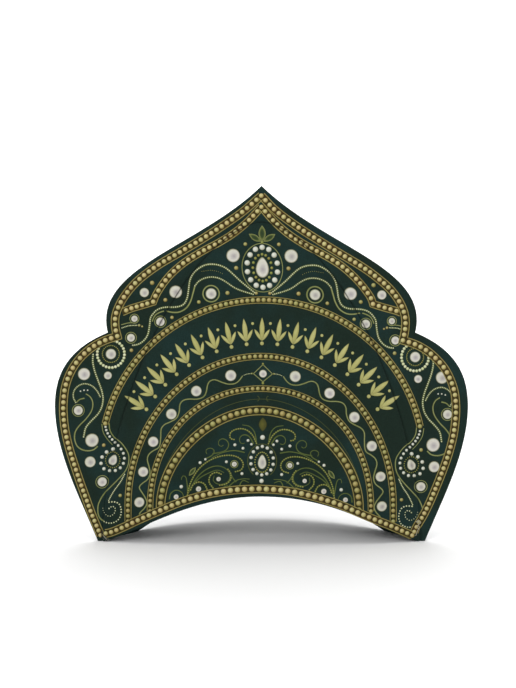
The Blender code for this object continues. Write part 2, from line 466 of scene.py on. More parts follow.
@dataclass(frozen=True)
class FrontFace:
    """The curved face that the front's outline and print are laid on.

    Attributes:
        seam: The stitched line of the seam.
        pocket: The line along which the back leaves the front.
        foot_depth: Depth of the tips' face, from the frame.
        bow, bow_fade: How far its middle stands forward, and how much less it does at the apex.
        lean: How far the apex leans back.
        puff, puff_sharpness: How far the head pushes the middle forward, and how suddenly.
        groove, groove_width: Depth and half width of the seam's groove.
        crease, groove_shade_foot, groove_shade_fade: Half width of the painted shade, a dark
        line along the seam's groove; the height at which it starts to show, and the height over
        which it does.
        pillow, pillow_reach: How far the felt is drawn in beside the seam.
        wave, wave_size, wave_foot: Depth and length of its soft waves, and where they reach it.
    """

    seam: SeamArch
    pocket: SeamArch
    foot_depth: float
    thick: float = 3.0 * MM
    apex: float = 310.5 * MM
    tip_half: float = 143.4 * MM
    bow: float = 15 * MM
    bow_fade: float = 0.5
    lean: float = 6 * MM
    puff: float = 2.2 * MM
    puff_sharpness: float = 7.0
    groove: float = 1.0 * MM
    groove_width: float = 0.8 * MM
    crease: float = 0.5 * MM
    groove_shade_foot: float = 80 * MM
    groove_shade_fade: float = 40 * MM
    pillow: float = 0.7 * MM
    pillow_reach: float = 4.0 * MM
    wave: float = 0.5 * MM
    wave_size: float = 70 * MM
    wave_foot: float = 40 * MM

    def depth(self, x: float, z: float) -> float:
        """Tell the depth of the panel's smooth face at a place.

        Args:
            x: The place, across.
            z: The place, up.

        Returns:
            The depth, which is y in the frame.
        """
        rise = z / self.apex
        bow = self.bow * ((x / self.tip_half) ** 2 - 1) * (1 - self.bow_fade * rise * rise)
        puff = self.puff / (1 + self.pocket.share(x, z) ** self.puff_sharpness)
        return self.foot_depth + bow + self.lean * rise * rise - puff

    def relief(self, x: float, z: float) -> float:
        """Tell how far the felt dips at a place, at the seam and in its soft waves.

        Args:
            x: The place, across.
            z: The place, up.

        Returns:
            The dip in metres, away from the viewer.
        """
        off = abs(self.seam.distance(x, z))
        dip = self.groove * math.exp(-((off / self.groove_width) ** 2))
        dip += self.pillow * math.exp(-off / self.pillow_reach)
        steady = min(z / self.wave_foot, 1.0)
        return dip + self.wave * steady * noise(Vector((x, FRONT_ROW, z)) / self.wave_size)

    def lay(self, shape: bmesh.types.BMesh) -> None:
        """Bend flat shapes onto the face.

        Args:
            shape: Flat shapes; y is how far they lie behind the face, below 0 in front of it.
        """
        # Each point's share of painted shade: a dark line along the seam's groove on the front face,
        # shown above a height.
        crease = shape.verts.layers.float.new("crease")
        for vert in shape.verts:
            x, behind, z = vert.co
            near = 1 - min(max(behind / self.thick, 0.0), 1.0)
            shows = near * min(max((z - self.groove_shade_foot) / self.groove_shade_fade, 0.0), 1.0)
            vert[crease] = shows * math.exp(-((self.seam.distance(x, z) / self.crease) ** 2))
            vert.co.y = self.depth(x, z) + behind + near * self.relief(x, z)

    def refine(self, shape: bmesh.types.BMesh, reach: float, size: float) -> None:
        """Split flat shapes finely near the seam, so that they can follow its groove.

        Args:
            shape: The flat shapes.
            reach: How far from the seam they are split, in millimetres.
            size: The longest edge left there, in millimetres.
        """
        reach, size = reach * MM, size * MM
        wide_reach, passes = 3 * reach, 4
        wide = [
            face
            for face in shape.faces
            if len(face.verts) > 4
            and abs(self.seam.distance(*face.calc_center_median().xz)) < wide_reach
        ]
        bmesh.ops.triangulate(shape, faces=wide)
        for _ in range(passes):
            long = []
            for edge in shape.edges:
                middle = (edge.verts[0].co + edge.verts[1].co) / 2
                slack = reach + edge.calc_length() / 2
                if edge.calc_length() > size and middle.y < self.thick / 2:
                    if abs(self.seam.distance(middle.x, middle.z)) < slack:
                        long.append(edge)
            if not long:
                break
            bmesh.ops.subdivide_edges(shape, edges=long, cuts=1, use_grid_fill=True)


SLIPS: Places = (
    (0, -3), (5, -2.8), (33, -1.3), (60, -0.1), (100, 0.7), (200, 1.0), (220, 0.9), (245, 0.1)
)
FALLS: Places = (
    (34, 3.5), (60, 4.4), (87, 4.1), (112, 3.4), (145, 3.0), (163, 2.6), (190, 2.1)
)
FALL_REACH = 100 * MM
SIGHT_STEPS = 6


def between(places: Places, goal: float) -> float:
    """Read a value from a short table.

    Args:
        places: Pairs of a place and the value there, in order.
        goal: The place to read it at.

    Returns:
        The value, which beyond the table's ends is that of its end.
    """
    for (low, first), (high, last) in zip(places, places[1:]):
        if goal < high:
            return first + (last - first) * max(goal - low, 0.0) / (high - low)
    return places[-1][1]


@dataclass(frozen=True)
class Sight:
    """Where the picture is taken from, which leads from places as seen to places on the felt.

    Places as seen are in millimetres at the scale of the hat's width, right of the pixel that the
    middle of the ornament falls on, and above the pixel row of the floor.

    Attributes:
        place: Where the camera is.
        tilt: How far it looks down, in degrees.
        lens: Its focal length, in millimetres.
        sensor: The length of its sensor along the picture's long side.
        image: Width and height of the picture, in pixels.
        centre_px: The pixel column of the middle of the ornament.
        floor_px: The pixel row of the hat's feet.
        mm_per_px: The scale of the places as seen.
    """

    place: tuple[float, float, float] = (-0.0030, -1.4106, 0.3932)
    tilt: float = 9.0
    lens: float = 85.0
    sensor: float = 36.0
    image: tuple[int, int] = (516, 688)
    centre_px: float = 262.0
    floor_px: float = 541.0
    mm_per_px: float = 0.8717

    def onto(self, face: FrontFace, x: float, z: float) -> Pair:
        """Follow the line of sight of a place as seen to the felt.

        Args:
            face: The front's face.
            x: The place as seen, across, in metres.
            z: The place as seen, up.

        Returns:
            The place in the plane of the front, x and z.
        """
        focal_px = self.lens / self.sensor * self.image[1]
        column = self.centre_px + x / (self.mm_per_px * MM)
        row = self.floor_px - z / (self.mm_per_px * MM)
        right = (column - self.image[0] / 2) / focal_px
        above = (self.image[1] / 2 - row) / focal_px
        tilt = math.radians(self.tilt)
        forward = math.cos(tilt) + above * math.sin(tilt)
        upward = above * math.cos(tilt) - math.sin(tilt)
        depth = face.foot_depth
        for _ in range(SIGHT_STEPS):
            reach = (depth - self.place[1]) / forward
            across, up = self.place[0] + right * reach, self.place[2] + upward * reach
            depth = face.depth(across, up)
        return across, up

    def slip(self, height: float) -> float:
        """Return how far right of the middle the field's print lies at a height."""
        return between(SLIPS, height / MM) * MM

    def fall(self, across: float, height: float) -> float:
        """Return how far the field's print lies below its place on the left."""
        return between(FALLS, height / MM) * MM * min(max(across, 0.0) / FALL_REACH, 1.0)

    def camera(self) -> None:
        """Make the camera."""
        data = bpy.data.cameras.new("camera")
        data.lens = self.lens
        data.sensor_width = self.sensor
        placed = show("camera", data)
        placed.location = self.place
        placed.rotation_euler = (math.radians(90 - self.tilt), 0.0, 0.0)
        bpy.context.scene.camera = placed


class Recipe:
    """A material's nodes, added one by one."""

    def __init__(self, name: str) -> None:
        """Start a material with a bare Principled shader.

        Args:
            name: The material's name.
        """
        self.material = bpy.data.materials.new(name)
        self.material.use_nodes = True
        self.tree = self.material.node_tree
        self.shader = self.tree.nodes["Principled BSDF"]

    def node(self, kind: str, inputs: dict | None = None, **settings: object) -> bpy.types.Node:
        """Add a node.

        Args:
            kind: Its type, without the word ShaderNode.
            inputs: Values or sockets for its inputs, by name or number.
            settings: Its own settings.

        Returns:
            The node.
        """
        added = self.tree.nodes.new("ShaderNode" + kind)
        for key, value in settings.items():
            setattr(added, key, value)
        for key, value in (inputs or {}).items():
            self.feed(added.inputs[key], value)
        return added

    def feed(self, socket: bpy.types.NodeSocket, value: object) -> None:
        """Give a socket a value, or link another socket to it.

        Args:
            socket: The input to feed.
            value: A constant, or the output to link.
        """
        if isinstance(value, bpy.types.NodeSocket):
            self.tree.links.new(value, socket)
        else:
            socket.default_value = value

    def shade(self, inputs: dict[str, object]) -> None:
        """Feed values or sockets to the shader's inputs, by name."""
        for name, value in inputs.items():
            self.feed(self.shader.inputs[name], value)

    def patches(self, scale: float, low: float, high: float) -> bpy.types.NodeSocket:
        """Return how much soft patches show, which start at a low noise and are full at a high one."""
        return self.ramp(self.noise(scale), ((low, BLACK), (high, WHITE)))

    def ramp(
        self, factor: bpy.types.NodeSocket, stops: tuple[tuple[float, Colour], ...]
    ) -> bpy.types.NodeSocket:
        """Add a colour ramp.

        Args:
            factor: What drives it.
            stops: Its places and colours, in order.

        Returns:
            The colour output.
        """
        added = self.node("ValToRGB", {"Fac": factor})
        elements = added.color_ramp.elements
        while len(elements) < len(stops):
            elements.new(0.5)
        for element, (place, colour) in zip(elements, stops):
            element.position = place
            element.color = colour
        return added.outputs["Color"]

    def mix(
        self, factor: object, first: object, second: object, blend: str = "MIX"
    ) -> bpy.types.NodeSocket:
        """Mix two colours.

        Args:
            factor: How much of the second shows.
            first: The first colour.
            second: The second colour.
            blend: The way they are mixed.

        Returns:
            The mixed colour.
        """
        added = self.node("Mix", data_type="RGBA", blend_type=blend)
        self.feed(added.inputs[0], factor)
        self.feed(added.inputs[6], first)
        self.feed(added.inputs[7], second)
        return added.outputs[2]

    def maths(self, operation: str, first: object, second: object = 0.0) -> bpy.types.NodeSocket:
        """Return what an operation makes of two numbers."""
        return self.node("Math", {0: first, 1: second}, operation=operation).outputs[0]

    def noise(
        self, scale: float, stretch: tuple = (1, 1, 1), turn: float = 0.0
    ) -> bpy.types.NodeSocket:
        """Add noise that is fixed to the object.

        Args:
            scale: Its fineness, per metre.
            stretch: How much finer it is along each axis.
            turn: How far it is turned in the plane of the front, in degrees.

        Returns:
            The noise, from 0 to 1.
        """
        place = self.node("TexCoord").outputs["Object"]
        turned = self.node("Mapping", {0: place, 2: Euler((0, math.radians(turn), 0)), 3: stretch})
        inputs = {"Vector": turned.outputs[0], "Scale": scale, "Detail": 3.0}
        return self.node("TexNoise", inputs).outputs[0]

    def bump(
        self, strength: float, depth: float, height: bpy.types.NodeSocket, under: object = None
    ) -> bpy.types.NodeSocket:
        """Add relief.

        Args:
            strength: How strongly it tells.
            depth: How deep it is, in metres.
            height: The relief, from 0 to 1.
            under: The relief that it lies on, or None.

        Returns:
            The normal.
        """
        inputs = {"Strength": strength, "Distance": depth, "Height": height}
        if under is not None:
            inputs["Normal"] = under
        return self.node("Bump", inputs).outputs[0]


@dataclass(frozen=True)
class FeltGrain:
    """The matted fibres of pressed felt.

    Attributes:
        lump: Fineness of the soft lumps, per metre.
        fibre: Fineness of the fibres, per metre.
        slant: How far the fibres lean to either side, in degrees.
        depth: Height of the fibres' relief, in metres; the lumps stand twice as high.
        fine_share: How much the finest grain tells beside the fibres.
        relief: How strongly the fibres and the lumps tell.
        spans: The heights at which the fibres are darkest and lightest.
        roughness, gloss: Roughness and specular level.
        fuzz, fuzz_roughness: Strength and roughness of the fuzz's sheen.
        crease: How dark the painted shade along the seam's groove is.
    """

    lump: float = 160.0
    fibre: float = 330.0
    slant: float = 37.0
    depth: float = 0.35 * MM
    fine_share: float = 0.6
    relief: Pair = (0.55, 0.35)
    spans: Pair = (0.34, 0.70)
    roughness: float = 0.92
    gloss: float = 0.18
    fuzz: float = 0.12
    fuzz_roughness: float = 0.45
    crease: float = 0.85

    def dress(self, recipe: Recipe, colour: object, spread: float) -> None:
        """Finish a shader as felt of a colour.

        Args:
            recipe: The material.
            colour: The colour before the grain, a constant or a socket.
            spread: How much the fibres lighten and darken it.
        """
        left = recipe.noise(self.fibre, (1.0, 1.0, 6.0), self.slant)
        right = recipe.noise(self.fibre, (6.0, 1.0, 1.0), -self.slant)
        fibres = recipe.maths("ADD", left, right)
        lumps = recipe.noise(self.lump)
        fine = recipe.noise(self.fibre * 5)
        height = recipe.maths("ADD", fibres, recipe.maths("MULTIPLY", fine, self.fine_share))
        grain = recipe.bump(self.relief[0], self.depth, height)
        soft = recipe.bump(self.relief[1], self.depth * 2, lumps, grain)
        light, dark = 0.5 + spread, 0.5 - spread
        stops = ((self.spans[0], (dark, dark, dark, 1)), (self.spans[1], (light, light, light, 1)))
        tone = recipe.ramp(recipe.maths("MULTIPLY", height, 0.4), stops)
        halved = recipe.mix(1.0, colour, tone, "MULTIPLY")
        lit = recipe.mix(1.0, halved, (2, 2, 2, 1), "MULTIPLY")
        # Painted shade: the colour is darkened to a deep green along the seam's groove.
        crease = recipe.node("Attribute", attribute_name="crease").outputs["Fac"]
        final = recipe.mix(recipe.maths("MULTIPLY", crease, self.crease), lit, srgb(*GROOVE_SHADE_TONE))
        recipe.shade({
            "Base Color": final,
            "Normal": soft,
            "Roughness": self.roughness,
            "Specular IOR Level": self.gloss,
            "Sheen Weight": self.fuzz,
            "Sheen Roughness": self.fuzz_roughness,
            "Sheen Tint": srgb(*FUZZ_TONE),
        })


@dataclass(frozen=True)
class DyedFelt:
    """Plain dyed felt.

    Attributes:
        name: The material's name.
        deep: Its main colour.
        cool: The bluish cast of its patches.
        grain: Its fibres, with a lighter painted shade along the seam's groove than the print's.
    """

    name: str
    deep: Tone
    cool: Tone
    grain: FeltGrain = FeltGrain(crease=0.45)

    def material(self) -> bpy.types.Material:
        """Return the finish as a material."""
        recipe = Recipe(self.name)
        colour = recipe.mix(recipe.patches(22.0, 0.42, 0.62), srgb(*self.deep), srgb(*self.cool))
        self.grain.dress(recipe, colour, spread=0.13)
        return recipe.material


@dataclass(frozen=True)
class BeadInk:
    """Printed beads and pearls, painted as if light fell on them from the upper left.

    Attributes:
        name: The material's name.
        stops: Colours from the painted highlight out to the painted shade.
        rim: Colour of the thin line around each bead.
        light: Where the highlight is painted, in shares of the radius.
        tints: The two casts that the beads vary between.
    """

    name: str
    stops: tuple[tuple[float, Tone], ...]
    rim: Tone
    light: tuple[float, float, float] = (-0.22, 0.30, 0.0)
    tints: tuple[Tone, Tone] = ((255, 255, 255), (255, 255, 255))
    grain: FeltGrain = FeltGrain(fuzz=0.05)

    def material(self) -> bpy.types.Material:
        """Return the finish as a material."""
        recipe = Recipe(self.name)
        ink = recipe.node("Attribute", attribute_name="ink").outputs["Vector"]
        parts = recipe.node("SeparateXYZ", {0: ink}).outputs
        flat = recipe.node("CombineXYZ", {0: parts[0], 1: parts[1]}).outputs[0]
        lit = recipe.node("VectorMath", {0: flat, 1: self.light}, operation="DISTANCE")
        out = recipe.node("VectorMath", {0: flat}, operation="LENGTH").outputs["Value"]
        stops = tuple((place, srgb(*tone)) for place, tone in self.stops)
        painted = recipe.ramp(recipe.maths("MULTIPLY", lit.outputs["Value"], 0.7), stops)
        tint = recipe.mix(parts[2], *(srgb(*tone) for tone in self.tints))
        painted = recipe.mix(1.0, painted, tint, "MULTIPLY")
        edge = recipe.ramp(out, ((0.84, BLACK), (0.97, WHITE)))
        self.grain.dress(recipe, recipe.mix(edge, painted, srgb(*self.rim)), spread=0.05)
        return recipe.material


@dataclass(frozen=True)
class LineInk:
    """Printed lines and bands, light along the middle and dark along the edges.

    Attributes:
        name: The material's name.
        middle: Colour along the middle.
        edge: Colour along the edges.
        patchy: Colour that the line fades to in patches.
    """

    name: str
    middle: Tone
    edge: Tone
    patchy: Tone | None = None
    grain: FeltGrain = FeltGrain(fuzz=0.05)

    def material(self) -> bpy.types.Material:
        """Return the finish as a material."""
        recipe = Recipe(self.name)
        ink = recipe.node("Attribute", attribute_name="ink").outputs["Vector"]
        across = recipe.maths("ABSOLUTE", recipe.node("SeparateXYZ", {0: ink}).outputs[1])
        colour = recipe.ramp(across, ((0.25, srgb(*self.middle)), (0.95, srgb(*self.edge))))
        if self.patchy is not None:
            colour = recipe.mix(recipe.patches(70.0, 0.45, 0.66), colour, srgb(*self.patchy))
        self.grain.dress(recipe, colour, spread=0.07)
        return recipe.material


@dataclass(frozen=True)
class ThreadFinish:
    """Spun sewing thread.

    Attributes:
        name: The material's name.
        tone: Its colour.
    """

    name: str
    tone: Tone

    def material(self) -> bpy.types.Material:
        """Return the finish as a material."""
        recipe = Recipe(self.name)
        ply = recipe.noise(1500.0, (1.0, 1.0, 3.0), 25.0)
        twist = recipe.bump(0.6, 0.08 * MM, ply)
        deep = srgb(*self.tone)
        tone = recipe.mix(ply, deep, tuple(min(1.0, 1.7 * part) for part in deep))
        recipe.shade({"Base Color": tone, "Normal": twist, "Roughness": 0.6, "Sheen Weight": 0.2})
        return recipe.material


GREEN_FELT = DyedFelt("printed_green_felt", (20, 36, 28), (21, 43, 40))
BACK_FELT = DyedFelt("plain_green_felt", (22, 40, 33), (21, 42, 39))
CREAM_BEAD = BeadInk(
    "cream_bead_ink",
    ((0.0, (210, 202, 160)), (0.42, (188, 178, 128)), (0.74, (146, 132, 82)), (1.0, (98, 86, 44))),
    (66, 56, 24),
    tints=((251, 255, 238), (255, 247, 233)),
)
GOLD_BEAD = BeadInk(
    "gold_bead_ink",
    ((0.0, (188, 181, 136)), (0.38, (164, 155, 106)), (0.72, (124, 113, 66)), (1.0, (80, 72, 36))),
    (52, 48, 20),
    tints=((245, 255, 232), (255, 245, 225)),
)
PEARL = BeadInk(
    "pearl_ink",
    (
        (0.0, (162, 156, 157)), (0.2, (180, 175, 172)), (0.42, (204, 201, 192)),
        (0.62, (206, 204, 192)), (0.76, (182, 180, 154)),
    ),
    (118, 116, 88),
    light=(0.10, -0.10, 0.0),
    tints=((255, 255, 255), (246, 248, 240)),
)
WHITE_BEAD = BeadInk(
    "white_bead_ink",
    ((0.0, (218, 220, 210)), (0.5, (196, 198, 184)), (0.9, (150, 150, 126))),
    (84, 86, 60),
)
TINY_BEAD = BeadInk(
    "tiny_bead_ink",
    ((0.0, (226, 228, 200)), (0.5, (204, 206, 172)), (0.9, (150, 152, 106))),
    (88, 92, 52),
    tints=((255, 255, 255), (236, 242, 220)),
)
OLIVE_BEAD = BeadInk(
    "olive_bead_ink",
    ((0.0, (166, 164, 104)), (0.5, (134, 132, 76)), (0.9, (88, 88, 44))),
    (60, 62, 28),
    tints=((240, 255, 224), (255, 244, 214)),
)
BORDER_BAND = LineInk("border_band_ink", (58, 50, 22), (46, 42, 20), (62, 46, 24))
ARCH_BAND = LineInk("arch_band_ink", (52, 48, 20), (38, 42, 22), (36, 36, 18))
GOLD_LINE = LineInk("gold_line_ink", (156, 144, 84), (104, 94, 48), (128, 116, 62))
OLIVE_LINE = LineInk("olive_line_ink", (142, 146, 92), (64, 74, 40), (112, 118, 68))
STRING_LINE = LineInk("string_line_ink", (92, 99, 56), (48, 60, 34))
VINE_LINE = LineInk("vine_line_ink", (94, 106, 54), (42, 54, 29), (72, 84, 42))
FAINT_LINE = LineInk("faint_line_ink", (74, 80, 40), (44, 54, 32))
BAND_GOLD = BeadInk(
    "band_gold_ink",
    ((0.0, (184, 182, 128)), (0.5, (174, 171, 116)), (1.0, (156, 153, 100))),
    (108, 107, 62),
    tints=((255, 255, 244), (244, 244, 222)),
)
LEAF_INK = BeadInk(
    "leaf_ink",
    ((0.0, (40, 56, 34)), (0.34, (52, 67, 38)), (0.50, (98, 106, 56)), (0.9, (134, 138, 84))),
    (130, 134, 84),
    light=(0.0, 0.0, 0.0),
)
BUD_INK = BeadInk(
    "bud_ink",
    ((0.0, (92, 90, 40)), (0.5, (74, 74, 34)), (1.0, (54, 58, 28))),
    (50, 52, 22),
    light=(0.0, 0.0, 0.0),
)
GREEN_THREAD = ThreadFinish("green_thread", (18, 30, 26))
PALE_THREAD = ThreadFinish("pale_thread", (150, 144, 122))


class PrintSheet:
    """Flat shapes of one ink and one layer, gathered in the plane of the front."""

    BURIED = 0.12 * MM
    FINENESS = ((10.0, 1.3), (1.0, 0.5))
    GOLDEN = 0.6180339
    DROP_TAPER = 0.2
    DROP_LENGTH = 1.35

    def __init__(
        self, name: str, ink: BeadInk | LineInk, layer: Layer, sight: Sight, askew: bool = False
    ) -> None:
        """Start an empty sheet.

        Args:
            name: The piece's name.
            ink: Its finish.
            layer: The layer that it is printed in.
            sight: Where its places are seen from.
            askew: Whether it slips sideways and falls to the right, as the field's print does.
        """
        self.name = name
        self.ink = ink
        self.lift = layer.value * MM
        self.sight = sight
        self.askew = askew
        self.shape = bmesh.new()
        self.local = self.shape.verts.layers.float_vector.new("ink")
        self.count = 0

    def seed(self) -> float:
        """Return the next shape's share of tint, spread evenly without a plain order."""
        self.count += 1
        return (self.count * self.GOLDEN) % 1.0

    def blot(
        self,
        place: Vector,
        size: Pair,
        form: Form = Form.ROUND,
        turn: float = 0.0,
        sides: int = 12,
    ) -> None:
        """Add a round, drop-shaped or leaf-shaped blot.

        Args:
            place: Its middle, (x, z) in metres.
            size: Its half width and half height, in millimetres.
            form: Its outline.
            turn: How far it is turned, in degrees, left from upright.
            sides: How many sides its outline has.
        """
        thick = self.lift + self.BURIED
        upright = Matrix.Rotation(math.radians(90), 4, "X")
        made = bmesh.ops.create_cone(
            self.shape, cap_ends=True, segments=sides, radius1=1, radius2=1, depth=1, matrix=upright
        )
        seed = self.seed()
        spin = Matrix.Rotation(math.radians(turn), 2)
        for vert in made["verts"]:
            x, z = vert.co.x, vert.co.z
            vert[self.local] = (x, z, seed)
            if form is Form.LEAF:
                x *= abs(x)
            elif form is Form.DROP and z > 0:
                x *= max(1 - z, 0.0) ** self.DROP_TAPER
                z *= self.DROP_LENGTH
            spot = spin @ Vector((x * size[0] * MM, z * size[1] * MM)) + place
            vert.co = (spot.x, vert.co.y * thick + self.BURIED - thick / 2, spot.y)

    def bead(self, place: Vector, diameter: float, sides: int = 12) -> None:
        """Add a round bead of a diameter in millimetres."""
        self.blot(place, (diameter / 2, diameter / 2), sides=sides)

    def row(
        self,
        path: Path,
        diameter: float,
        pitch: float,
        last: Pair | None = None,
        ends: Pair = (0.0, 0.0),
        sides: int = 12,
    ) -> None:
        """Add a row of beads along a line.

        Args:
            path: The line.
            diameter: The beads' diameter at its start, in millimetres.
            pitch: The distance between beads at its start, in millimetres.
            last: The diameter and distance at its end, or None where they stay the same.
            ends: Bare length at the start and at the end, in millimetres.
            sides: How many sides a bead has.
        """
        end_size, end_pitch = last or (diameter, pitch)
        for place, _, share in path.spots(pitch, end_pitch, ends):
            self.bead(place, diameter + (end_size - diameter) * share, sides)

    def ribbon(
        self, path: Path, width: float, last_width: float | None = None, cell: float = 2.0, rows: int = 2
    ) -> None:
        """Add a ribbon along a line.

        Args:
            path: The line.
            width: Its width, in millimetres.
            last_width: Its width at the end, or None where it stays the same.
            cell: How long its facets are, in millimetres.
            rows: How many facets lie across it.
        """
        whole = path.length()
        count = max(6, round(whole / (cell * MM)))
        seed = self.seed()
        made = bmesh.ops.create_grid(self.shape, x_segments=count, y_segments=rows, size=0.5)
        end_width = width if last_width is None else last_width
        columns: dict[float, tuple[Vector, Vector]] = {}
        for vert in made["verts"]:
            share, across = round(vert.co.x + 0.5, 6), vert.co.y * 2
            if share not in columns:
                columns[share] = self._column(path, share)
            middle, side = columns[share]
            half = (width + (end_width - width) * share) / 2 * MM
            spot = middle + side * (across * half)
            vert[self.local] = (share * whole / MM, across, seed)
            vert.co = (spot.x, -self.lift, spot.y)
        verts = made["verts"]
        if path.closed:
            bmesh.ops.remove_doubles(self.shape, verts=verts, dist=0.01 * MM)
            verts = [vert for vert in verts if vert.is_valid]
        faces = list({face for vert in verts for face in vert.link_faces})
        grown = bmesh.ops.extrude_face_region(self.shape, geom=faces)["geom"]
        for vert in of_kind(grown, bmesh.types.BMVert):
            vert.co.y = self.BURIED

    @staticmethod
    def _column(path: Path, share: float) -> tuple[Vector, Vector]:
        """Find where a ribbon's cross line lies.

        Args:
            path: The ribbon's line.
            share: How far along it is.

        Returns:
            The place and the direction to the left.
        """
        gap = min(HEADING_GAP, 1.0 / len(path.points))
        here = path.at(share)[0]
        before, after = share - gap, share + gap
        if path.closed:
            along = path.at(after % 1.0)[0] - path.at(before % 1.0)[0]
        else:
            along = path.at(after)[0] - path.at(before)[0]
        return here, left_of(along.normalized())

    def print_on(self, face: FrontFace) -> bpy.types.Object:
        """Lay the sheet on the front and make it a piece.

        Args:
            face: The front's face.

        Returns:
            The piece.
        """
        for vert in self.shape.verts:
            x, z = vert.co.x, vert.co.z
            if self.askew:
                x, z = x + self.sight.slip(z), z - self.sight.fall(x, z)
            vert.co.x, vert.co.z = self.sight.onto(face, x, z)
        bmesh.ops.recalc_face_normals(self.shape, faces=self.shape.faces)
        for reach, size in self.FINENESS:
            face.refine(self.shape, reach, size)
        face.lay(self.shape)
        return finish_piece(self.name, self.shape, self.ink.material(), PRINT_SHARP)


def finish_piece(
    name: str, shape: bmesh.types.BMesh, material: bpy.types.Material, sharp: float
) -> bpy.types.Object:
    """Turn a bmesh into a finished piece that rides on the hat.

    Args:
        name: The piece's name.
        shape: Its mesh, freed here.
        material: Its material.
        sharp: Edges that turn by more than this many degrees are shaded sharp.

    Returns:
        The piece.
    """
    mesh = mesh_from(name, shape)
    mesh.materials.append(material)
    mesh.shade_smooth()
    mesh.set_sharp_from_angle(angle=math.radians(sharp))
    piece = show(name, mesh)
    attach(piece, BODY)
    mesh.calc_loop_triangles()
    LOG.info("%s: %d triangles", name, len(mesh.loop_triangles))
    return piece


@dataclass
class FrontFelt:
    """The front panel's felt, cut to the outline with a soft edge.

    Attributes:
        face: The curve that it is bent to.
        outline: Its outline.
        cell: The size of its facets.
        first_cut: Where the first facets end, in shares of a facet.
        edge: How far its cut edge is rounded.
        fineness: For each pass near the seam, how far it reaches and how fine it gets.
    """

    face: FrontFace
    outline: Outline
    cell: float = 4.0 * MM
    first_cut: float = 0.63
    edge: float = 0.9 * MM
    fineness: Places = ((5.0, 0.75), (0.9, 0.45))

    def build(self) -> bpy.types.Object:
        """Return the felt as a piece that stands for the front panel."""
        shape = self._blank()
        self._slice(shape)
        for reach, size in self.fineness:
            self.face.refine(shape, reach, size)
        self.face.lay(shape)
        bmesh.ops.recalc_face_normals(shape, faces=shape.faces)
        piece = finish_piece("front_felt", shape, GREEN_FELT.material(), FELT_SHARP)
        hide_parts("front_panel")
        return piece

    def _blank(self) -> bmesh.types.BMesh:
        """Return the flat blank, a slab with the outline and rounded edges."""
        shape = bmesh.new()
        ring = [shape.verts.new((point.x, 0.0, point.y)) for point in self.outline.ring().points]
        shape.faces.new(ring)
        made = bmesh.ops.extrude_face_region(shape, geom=list(shape.faces))["geom"]
        grown = of_kind(made, bmesh.types.BMVert)
        bmesh.ops.translate(shape, verts=grown, vec=(0.0, self.face.thick, 0.0))
        bmesh.ops.recalc_face_normals(shape, faces=shape.faces)
        rims = [edge for edge in shape.edges if any(len(face.verts) > 4 for face in edge.link_faces)]
        bmesh.ops.bevel(
            shape,
            geom=rims,
            offset=self.edge,
            segments=3,
            profile=0.5,
            affect="EDGES",
            clamp_overlap=False,
            material=-1,
        )
        return shape

    def _slice(self, shape: bmesh.types.BMesh) -> None:
        """Slice the slab into cells, so that it can bend.

        Args:
            shape: The slab.
        """
        low = Vector(min(vert.co[axis] for vert in shape.verts) for axis in range(3))
        high = Vector(max(vert.co[axis] for vert in shape.verts) for axis in range(3))
        for axis in (0, 2):
            way = Vector((axis == 0, 0.0, axis == 2))
            count = int((high[axis] - low[axis]) / self.cell)
            for step in range(count):
                cut = low[axis] + (step + self.first_cut) * self.cell
                geometry = [*shape.verts, *shape.edges, *shape.faces]
                bmesh.ops.bisect_plane(
                    shape, geom=geometry, dist=0.001 * MM, plane_co=way * cut, plane_no=way
                )


